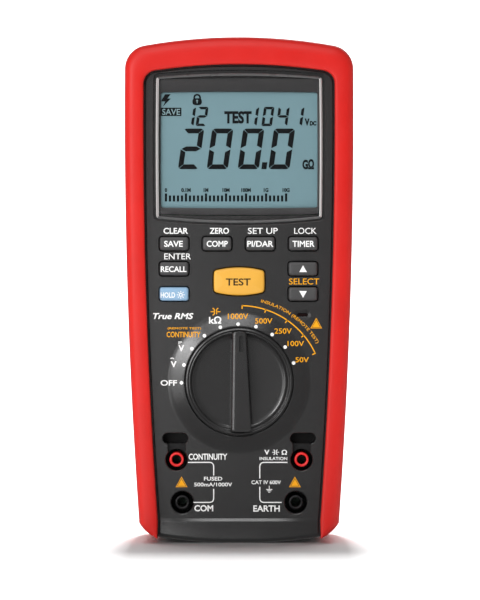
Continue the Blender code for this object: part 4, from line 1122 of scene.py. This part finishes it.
def make_knob():
    bm = bmesh.new()
    bend = 3.0
    angles = [math.radians(5.5 * step) for step in range(12)]
    bowl = [(19.0 + bend * math.sin(a), DISH_Y - bend * (1 - math.cos(a))) for a in angles]
    foot_y = WELL_FLOOR_Y - GAP
    rim = rounded((bowl[-1], (21.95, -26.1, 0.3), (22.3, -25.9, 0.3), (22.9, -26.6, 0.4),
                   (KNOB_RADIUS, -26.1, 0.5), (KNOB_RADIUS, foot_y)), 0.5, 4)
    hub = 7.4
    profile = [(0.0, DISH_Y + 0.15), (8.0, DISH_Y + 0.15)] + bowl[:-1] + rim
    profile += [(hub, foot_y), (hub, -19.2), (0, -19.2)]
    turned(bm, profile, 144, 0.0, KNOB_Z)
    piece("selector_dish", bm, "selector", "knob", ["selector_knob"], 40)

    # The bar's left flank slopes more gently than its right flank, and its left ridge runs upright.
    bm = bmesh.new()
    front = KNOB_FRONT_Y
    half = 22.1
    rings = []
    for left, right, y in ((2.6, 1.6, -21.0), (2.2, 1.0, -23.2), (1.9, 0.7, -24.4), (1.6, 0.5, -26.0),
                           (1.3, 0.35, -27.6), (1.05, 0.3, front + 0.9), (0.66, 0.2, front + 0.45),
                           (0.0, 0.0, front + 0.1), (-0.3, -0.3, front)):
        corners = ((5.3 + right, -half), (2.8 + right, half), (-1.9 - left, half), (-2.4 - left, -half))
        line = rounded(((0.0, -half),) + corners + ((0.0, -half),), 0.9, 3)[:-1]
        rings.append(ring_at([p + Vector((0.0, KNOB_Z)) for p in line], y))
    loft(bm, rings)
    made = new_mesh_object("selector_grip", bm, ("knob",), 20)
    bm = bmesh.new()
    slot = shifted(bowed_outline(0.75, 13.2, 20.2, 0.6), 0.9, KNOB_Z)
    profile_solid(bm, slot, lip(0.3, front) + [(0.0, front + 1.4)])
    carve(made, bm, sharp=20)
    finish_piece(made, "selector", even=True)


# ---- terminals


def make_terminals():
    """Four hollow insulating tubes, each round a metal sleeve whose very dark colour is painted shade inside
    the bore.
    """
    front = JACK_FRONT_Y
    back = -2.8
    wall = [(2.85, back), (JACK_TUBE, back), (JACK_TUBE, front + 0.55), (JACK_TUBE - 0.1, front + 0.25),
            (JACK_TUBE - 0.32, front + 0.05), (JACK_TUBE - 0.5, front), (JACK_BORE + 0.35, front),
            (JACK_BORE + 0.15, front + 0.08), (JACK_BORE, front + 0.3), (JACK_BORE, -20.0), (2.85, -20.0)]
    sleeve = [(2.55, -19.7), (2.3, -19.75), (2.05, -19.5), (2.05, back), (2.55, back)]
    for level, (x, z), skin in (("upper", UPPER_JACK, "red"), ("lower", LOWER_JACK, "black")):
        for side, sign in (("left", -1), ("right", 1)):
            bm = bmesh.new()
            turned(bm, wall, 40, sign * x, z)
            piece(f"jack_tube_{level}_{side}", bm, "tester", skin,
                  [f"jack_insulator_{level}_{side}"], 40)
            bm = bmesh.new()
            turned(bm, sleeve, 32, sign * x, z)
            piece(f"jack_sleeve_{level}_{side}", bm, "tester", "plated",
                  [f"jack_contact_{level}_{side}"], 40)


# ---- printing on the face


def on_face(place):
    """The y just in front of the face at a point, on the collar round the selector as well."""
    radius = (place - Vector((0.0, KNOB_Z))).length
    height = FACE_Y
    for (r0, y0), (r1, y1) in zip(COLLAR_SLOPE, COLLAR_SLOPE[1:]):
        if r0 <= radius < r1:
            height = min(FACE_Y, y0 + (y1 - y0) * (radius - r0) / (r1 - r0))
    return height - 0.02


def capacitor_mark(bm, x, z, half, y):
    """Two facing plates, each with a lead and a short bow at its ends."""
    for sign in (-1, 1):
        inner = x + sign * 0.3 * half
        outer = x + sign * 0.75 * half
        stroke(bm, ((outer, z + half), (inner, z + 0.6 * half), (inner, z - 0.6 * half), (outer, z - half)),
               0.3 * half, y)
        bar(bm, sorted((inner, x + sign * 1.35 * half)), (z - 0.13 * half, z + 0.13 * half), y)


def triangle(bm, x, z, y):
    """A framed triangle with nothing in it."""
    middle = Vector((x, z + 1.57))
    corners = vectors((x - 2.6, z), (x + 2.6, z), (x, z + 4.7))
    outer, inner, filled = ([middle + (p - middle) * size for p in corners] for size in (1.0, 0.8, 0.66))
    hollow_plate(bm, outer, inner, y)
    plate(bm, filled, y)


def voltage_mark(bm, x, low, alternating):
    """A V under a wave, or under a bar over three dashes."""
    write(bm, "V", (x - 1.3, x + 1.3), (low, low + 2.7), on_face, 0.03)
    y = on_face(Vector((x, low + 4.0)))
    left = x - 1.4
    if alternating:
        shares = [t / 12 for t in range(13)]
        stroke(bm, [(left + 2.8 * t, low + 3.75 + 0.35 * math.sin(2 * math.pi * t)) for t in shares], 0.45, y)
        return
    bar(bm, (left, left + 2.8), (low + 3.9, low + 4.3), y)
    for index in range(3):
        bar(bm, (left + 1.05 * index, left + 1.05 * index + 0.7), (low + 3.15, low + 3.5), y)


WHITE_LEGENDS = (
    ("CLEAR", (-33.6, -22.7), (137.4, 140.1), 0.020), ("ZERO", (-13.1, -4.5), (137.4, 140.1), 0.020),
    ("SET UP", (3.9, 17.2), (137.4, 140.1), 0.004), ("LOCK", (24.5, 34.4), (137.4, 140.1), 0.004),
    ("ENTER", (-33.3, -21.4), (126.1, 128.7), 0.004), ("OFF", (-34.9, -27.6), (69.9, 72.4), 0.018),
    ("CONTINUITY", (-22.4, -5.3), (36.9, 39.7), 0.022), ("COM", (-19.9, -11.5), (14.0, 16.8), 0.026),
    ("EARTH", (6.3, 18.1), (13.9, 16.7), 0.022), ("INSULATION", (9.1, 21.4), (36.8, 38.2), 0.014),
    ("FUSED", (-15.6, -7.5), (27.7, 29.4), 0.014), ("500mA/1000V", (-20.0, -3.1), (25.1, 26.8), 0.014),
    ("CAT IV 600V", (5.5, 18.6), (26.1, 27.8), 0.014), ("V", (11.2, 13.5), (39.2, 41.4), 0.026),
    ("Ω", (18.9, 21.3), (39.2, 41.4), 0.022), ("kΩ", (-13.4, -7.9), (97.5, 100.7), 0.022),
)
AMBER_LEGENDS = (
    ("1000V", (-5.0, 4.1), (99.5, 102.0), 0.012), ("500V", (7.1, 14.8), (97.5, 99.9), 0.012),
    ("250V", (15.7, 23.4), (93.0, 95.4), 0.012), ("100V", (21.5, 28.9), (87.5, 89.8), 0.012),
    ("50V", (25.0, 31.0), (80.3, 82.6), 0.012), ("SELECT", (22.2, 35.6), (114.9, 117.6), 0.004),
    ("CONTINUITY", (-32.2, -17.2), (91.4, 93.9), 0.016),
    ("(REMOTE TEST)", (-31.8, -16.9), (94.7, 95.9), 0.016),
)
TERMINAL_LINES = (
    ((-22.7, 35.8), (-11.3, 35.8), (-11.3, 30.0)), ((-11.3, 24.0), (-11.3, 18.0), (-20.3, 18.0)),
    ((21.5, 35.8), (9.2, 35.8), (9.2, 28.7)), ((9.2, 24.9), (9.2, 18.0), (18.9, 18.0)),
)
LINE_WIDTH = 0.45
DIAL_ARC_MIDDLE = Vector((0.45, 68.6))
DIAL_ARC_RADIUS = 36.9
DIAL_ARC_TICKS = (88.6, 72.0, 55.5, 40.0, 25.2)


def make_white_printing():
    y = FACE_Y - 0.01
    bm = bmesh.new()
    for text, x, z, weight in WHITE_LEGENDS:
        write(bm, text, x, z, on_face, weight)
    write(bm, "True RMS", (-38.3, -20.3), (99.5, 102.2), on_face, 0.024, 0.24)
    capacitor_mark(bm, 16.2, 40.3, 1.15, y)
    voltage_mark(bm, -25.7, 85.2, False)
    voltage_mark(bm, -29.1, 78.1, True)
    for line in TERMINAL_LINES:
        stroke(bm, rounded(line, 2.0, 6), LINE_WIDTH, y)
    bar(bm, (13.25, 13.55), (23.9, 25.4), y)
    for half, low in ((1.35, 23.6), (0.9, 23.0), (0.45, 22.4)):
        bar(bm, (13.4 - half, 13.4 + half), (low, low + 0.32), y)
    for index in range(10):
        place = Vector((0.0, KNOB_Z)) + polar(DOT_RADIUS, 181 - 18 * index)
        low = [Vector((p.x, on_face(p) + 0.2, p.y)) for p in circle_points(0.8, place.x, place.y, 20)]
        loft(bm, (low, [point - Vector((0, 0.2 + INK, 0)) for point in low]))
    piece("white_printing", bm, "tester", "ink_white")


def make_amber_printing():
    y = FACE_Y - 0.01
    bm = bmesh.new()
    for text, x, z, weight in AMBER_LEGENDS:
        write(bm, text, x, z, on_face, weight)
    capacitor_mark(bm, -10.5, 102.8, 1.6, y)
    middle = DIAL_ARC_MIDDLE
    stroke(bm, arc_points(DIAL_ARC_RADIUS, *middle, DIAL_ARC_TICKS[-1], DIAL_ARC_TICKS[0], 48), 0.5, y)
    for angle in DIAL_ARC_TICKS:
        stroke(bm, [middle + polar(DIAL_ARC_RADIUS + reach, angle) for reach in (0.2, -1.4)], 0.5, y)
    print_text(bm, "INSULATION (REMOTE TEST)", lambda across, up:
               middle + polar(DIAL_ARC_RADIUS + 2.1 + 1.8 * up, 76.5 - 46.0 * across), y, 0.006)
    for x, z in ((-25.6, 24.8), (24.8, 24.8), (34.3, 95.4)):
        triangle(bm, x, z, y)
    piece("amber_printing", bm, "tester", "ink_amber")


# ---- back


def make_screw(node, body, radius, shank):
    """A pan head with a cross recess, facing +Y, on a plain shank."""
    x, z = centre(node)
    seat = span(node)[1].y - 1.7
    bm = bmesh.new()
    turned(bm, [(0, seat), (radius, seat), (radius, seat + 0.55), (radius * 0.93, seat + 0.95),
                (radius * 0.72, seat + 1.35), (radius * 0.4, seat + 1.6), (0, seat + 1.7)], 32, x, z)
    made = new_mesh_object(f"{node}_head", bm, ("steel",))
    bm = bmesh.new()
    turned(bm, [(0, seat - shank), (1.2, seat - shank + 0.9), (1.2, seat + 0.2), (0, seat + 0.2)], 16, x, z)
    carve(made, bm, "UNION")
    arm = radius * 0.62
    half = radius * 0.13
    cross = [(half, arm), (-half, arm), (-half, half), (-arm, half), (-arm, -half), (-half, -half),
             (-half, -arm), (half, -arm), (half, -half), (arm, -half), (arm, half), (half, half)]
    bm = bmesh.new()
    loft(bm, [ring_at([Vector((x + px * size, z + pz * size)) for px, pz in cross], seat + rise)
              for size, rise in ((0.6, 0.5), (1.0, 1.7), (1.0, 3.0))])
    carve(made, bm)
    finish_piece(made, body, [node])


def make_rear_shell():
    bm = bmesh.new()
    edge = rounded(((0.0, 14.0), (0.0, 20.4), (1.4, 23.9), (3.4, REAR_Y), (9.0, REAR_Y)), 1.8, 4)[:-1]
    inner = [(4.6, REAR_Y - 2.4), (CASE_WALL, 21.0), (CASE_WALL, RIM_Y), (0.0, RIM_Y)]
    profile_solid(bm, case_outline(), inner + edge)
    made = new_mesh_object("rear_shell", bm, ("rear",))

    bm = bmesh.new()
    for node in CASE_SCREWS:
        rod(bm, 3.3, (RIM_Y + GAP, REAR_Y - 1.0), 24, centre(node))
    box(bm, (-33.7, 33.7), (5.0, REAR_Y - 1.0), (33.9, 101.1))
    box(bm, (-31.0, 31.0), (18.8, REAR_Y - 1.2), (104.0, 190.6))
    carve(made, bm, "UNION")

    bm = bmesh.new()
    slack = 0.35
    seat_y = DOOR_LOW_Y - GAP
    seat = bowed_outline(DOOR_HIGH.x + slack, DOOR_LOW.z - slack, DOOR_HIGH.z + slack, 2.6)
    bay = bowed_outline(31.7, 35.9, 99.1, 1.0)
    loft(bm, section_rings((bay, ((0.0, 7.0), (0.0, seat_y))), (seat, [(0.0, seat_y)] + rear_lip(0.4))))
    pocket = bowed_outline(STAND_HIGH.x + 0.5, 106.1, 188.4, 3.2)
    profile_solid(bm, pocket, [(0.0, 21.0)] + rear_lip(0.4))
    head = SCREW_HEAD + GAP
    well = [(0, 14.0), (head, 14.0)] + round_lip(head, rear_lip(0.4)) + [(0, REAR_Y + PAST)]
    for node in CASE_SCREWS:
        turned(bm, well, 32, *centre(node))
    carve(made, bm)

    bm = bmesh.new()
    for node in DOOR_SCREWS:
        rod(bm, 3.0, (6.0, 22.0), 24, centre(node))
    carve(made, bm, "UNION")
    bm = bmesh.new()
    for node in DOOR_SCREWS:
        rod(bm, 1.5, (11.0, REAR_Y), 16, centre(node))
    scoop = bowed_outline(9.0, 102.4, 108.0, 2.4)
    profile_solid(bm, scoop, [(1.4, REAR_Y - 2.8), (0.5, REAR_Y - 2.4)] + rear_lip(0.5))
    carve(made, bm)
    bm = bmesh.new()
    hinge_rod(bm, PIN_RADIUS + GAP, 31.6, 20)
    carve(made, bm)
    finish_piece(made, "tester", ["rear_case"], even=True)


def softened(y):
    """(inset, y) pairs of an outer edge rounded towards a face at y, seen from behind."""
    return [(0.0, y - 0.7), (0.1, y - 0.36), (0.34, y - 0.1), (0.7, y)]


def make_door():
    """The battery door, with grip slots, screw wells, and sunk marks: an arrow and two battery signs."""
    y = DOOR_HIGH.y
    bm = bmesh.new()
    outline = bowed_outline(DOOR_HIGH.x, DOOR_LOW.z, DOOR_HIGH.z, 2.4)
    profile_solid(bm, outline, [(0.0, DOOR_LOW_Y)] + softened(y))
    made = new_mesh_object("battery_door_skin", bm, ("rear",))
    bm = bmesh.new()
    well = [(0, 20.0), (1.5, 20.0), (1.5, DOOR_LOW_Y + 0.6), (2.5, DOOR_LOW_Y + 0.6)]
    well += round_lip(2.5, rear_lip(0.3, y)) + [(0, y + PAST)]
    for node in DOOR_SCREWS:
        turned(bm, well, 32, *centre(node))
    for row in range(4):
        slot = shifted(bowed_outline(9.0, -1.1, 1.1, 1.0), 0.0, 63.1 + 5.0 * row)
        profile_solid(bm, slot, [(0.35, y - 0.7), (0.05, y - 0.45)] + rear_lip(0.25, y, 3))
    sunk = (y - 0.4, y + PAST)
    prism(bm, vectors((-4.0, 88.2), (4.0, 88.2), (0.0, 83.6)), *sunk)
    for x in (-14.0, 14.0):
        box(bm, (x - 2.2, x + 2.2), sunk, (85.4, 86.4))
    for z in ((86.7, 88.1), (83.7, 85.1)):
        box(bm, (-14.5, -13.5), sunk, z)
    carve(made, bm)
    finish_piece(made, "battery_door", ["battery_door"], even=True)


def make_stand():
    y = REAR_Y
    bm = bmesh.new()
    outline = bowed_outline(STAND_HIGH.x, STAND_LOW.z, 185.2, 3.0)
    profile_solid(bm, outline, [(0.3, 22.0), (0.0, 22.3)] + softened(y))
    made = new_mesh_object("tilt_stand_skin", bm, ("rear",))
    bm = bmesh.new()
    hinge_rod(bm, 2.0, STAND_HIGH.x, 32)
    carve(made, bm, "UNION")
    bm = bmesh.new()
    panel = bowed_outline(STAND_HIGH.x - 7.0, STAND_LOW.z + 13.0, 176.2, 5.0)
    profile_solid(bm, panel, [(0.5, y - 1.2), (0.1, y - 0.9)] + rear_lip(0.5))
    hinge_rod(bm, PIN_RADIUS + GAP, 30.5, 20)
    carve(made, bm)
    bm = bmesh.new()
    for row in range(5):
        rib = shifted(bowed_outline(8.0, -0.45, 0.45, 0.4), 0.0, STAND_LOW.z + 3.4 + 1.8 * row)
        profile_solid(bm, rib, ((0.0, y - 0.3), (0.0, y + 0.15), (0.12, y + 0.3)))
    carve(made, bm, "UNION")
    finish_piece(made, "tilt_stand", ["tilt_stand"], even=True)


# ---- inside


def make_cell(node, upright):
    """An AA cell in a printed sleeve, turned up onto its end with its button up or down."""
    low, high = span(node)
    middle = (low + high) / 2
    radius = (high.x - low.x) / 2
    length = high.z - low.z
    band = length * 0.68
    bm = bmesh.new()
    turned(bm, ((0, 0.0), (4.4, 0.0), (4.8, 0.5), (radius - 0.6, 0.5), (radius, 1.0), (radius, band),
                (radius, length - 2.2), (radius - 0.6, length - 1.6), (2.75, length - 1.6),
                (2.75, length), (0, length)), 36)
    made = new_mesh_object(node.replace("battery_", ""), bm,
                           ("sleeve", "sleeve_band", "steel"))
    for polygon in made.data.polygons:
        at = polygon.center.y / MM
        bare = math.hypot(polygon.center.x, polygon.center.z) / MM <= radius - 0.9
        polygon.material_index = 2 if bare else int(at > band)
    turn = Matrix.Rotation(math.pi / 2 if upright else -math.pi / 2, 4, "X")
    place = Matrix.Translation(Vector((middle.x, middle.y, low.z if upright else high.z)) * MM)
    made.data.transform(place @ turn)
    finish_piece(made, "tester", [node])


CAD_SKINS = {
    "seal": ("case_seal", "lcd_connector_strip", "keypad_mat"),
    "steel": ("stand_hinge_pin", "battery_contacts_upper", "battery_contacts_lower", "detent_spring",
              "board_screw_left", "board_screw_right"),
    "brass": ("fuse_clip_left", "fuse_clip_right", "rotor_contacts"),
    "board": ("main_board", "input_board"),
    "black": ("terminal_block", "board_link", "buzzer"),
    "white": ("lcd_backlight", "selector_rotor"),
    "ceramic": ("fuse",),
    "lcd": ("lcd_panel",),
    "ferrite": ("transformer_core",),
    "winding": ("transformer_coil",),
    "film": ("storage_capacitor",),
    "lamp": ("warning_lamp",),
}


def dress_cad_nodes():
    for skin, nodes in CAD_SKINS.items():
        for node in nodes:
            materials = frame["nodes"][node].data.materials
            materials.clear()
            materials.append(skins[skin])


# ---- studio


def make_floor():
    """A pale sheet that runs back and curves up behind the tester. Reflections leave it out."""
    far, near, half, rise = 2.2, -3.0, 4.0, 3.0
    bend = 0.8
    curve = [polar(bend, -90 + 7.5 * step) for step in range(1, 13)]
    line = [(near, 0.0), (far - bend, 0.0)] + [(far - bend + p.x, bend + p.y) for p in curve] + [(far, rise)]
    bm = bmesh.new()
    bridge_rings(bm, [[(x, y, z) for y, z in line] for x in (-half, half)], False, closed=False)
    mesh = bpy.data.meshes.new("floor")
    bm.to_mesh(mesh)
    bm.free()
    mesh.shade_smooth()
    paper = Skin("studio_paper")
    fibres = paper.remap(paper.noise(600.0, 4.0), 0.0, 1.0)
    paper.set(Base_Color=paper.mix(fibres, (0.90, 0.90, 0.90), (0.92, 0.92, 0.92)), Roughness=0.9)
    mesh.materials.append(paper.made)
    floor = show("floor", mesh)
    floor.visible_glossy = False
    return floor


def area_light(name, place, size, power, receivers, target=(0.0, 0.0, 0.115)):
    light = bpy.data.lights.new(name, "AREA")
    light.shape = "RECTANGLE"
    light.size, light.size_y = size
    light.energy = power
    made = show(name, light)
    made.location = place
    made.rotation_euler = (Vector(target) - Vector(place)).to_track_quat("-Z", "Y").to_euler()
    made.light_linking.receiver_collection = receivers


def make_lights(floor):
    """Soft lights for the tester, and others for the paper alone, which keep it white."""
    world = bpy.data.worlds.new("studio")
    world.use_nodes = True
    background = world.node_tree.nodes["Background"]
    background.inputs["Color"].default_value = (1.0, 1.0, 1.0, 1.0)
    background.inputs["Strength"].default_value = 0.20
    bpy.context.scene.world = world
    paper_only, not_paper = (bpy.data.collections.new(name) for name in ("paper_only", "not_paper"))
    for receivers in (paper_only, not_paper):
        receivers.objects.link(floor)
    not_paper.collection_objects[0].light_linking.link_state = "EXCLUDE"
    area_light("key_light", (-0.90, -1.20, 0.62), (0.3, 0.55), 6.0, not_paper)
    area_light("upper_front", (-0.15, -1.10, 1.15), (0.9, 0.22), 4.6, not_paper)
    area_light("top_front", (-0.15, -0.40, 1.15), (0.9, 0.25), 2.4, not_paper)
    area_light("left_strip", (-0.42, -0.38, 0.16), (0.08, 0.4), 0.5, not_paper)
    area_light("right_strip", (1.15, -0.4, 0.3), (0.2, 1.2), 0.2, not_paper)
    area_light("front_fill", (-0.76, -1.9, 0.45), (1.2, 0.85), 2.4, not_paper)
    area_light("near_left", (-0.24, -0.70, 0.064), (0.3, 0.115), 0.28, not_paper, (0.0, 0.0, 0.05))
    area_light("back_fill", (0.3, 1.3, 0.9), (0.9, 0.6), 3.5, not_paper)
    area_light("paper_light", (0.0, 0.85, 2.2), (0.2, 1.0), 72.0, paper_only, (0.0, 0.0, 0.0))
    area_light("backdrop_wash", (0.0, 0.6, 2.2), (3.0, 0.8), 70.0, paper_only, (0.0, 2.2, 0.8))


def make_camera():
    """A level camera before the tester, whose picture is picture_height tall at the face."""
    place = Vector((0.0004, -1.35, 0.1080))
    picture_height = 0.2668
    data = bpy.data.cameras.new("camera")
    data.sensor_width = 36.0
    data.lens = data.sensor_width * (FACE_Y * MM - place.y) / picture_height
    made = show("camera", data)
    made.location = place
    made.rotation_euler = (math.pi / 2, 0.0, 0.0)
    bpy.context.scene.camera = made
    bpy.context.scene.view_settings.view_transform = "Standard"


make_holster()
make_front_shell()
make_display()
make_readout()
for key_name, key_shape in KEY_SHAPES.items():
    make_key(key_name, key_shape)
make_knob()
make_terminals()
make_white_printing()
make_amber_printing()
make_rear_shell()
make_door()
make_stand()
for screw in CASE_SCREWS:
    make_screw(screw, "tester", SCREW_HEAD, 12.0)
for screw in DOOR_SCREWS:
    make_screw(screw, "battery_door", DOOR_SCREW_HEAD, 3.0)
for number, cell in enumerate(nodes_named("battery_cell")):
    make_cell(cell, number % 2 == 0)
dress_cad_nodes()
make_lights(make_floor())
make_camera()
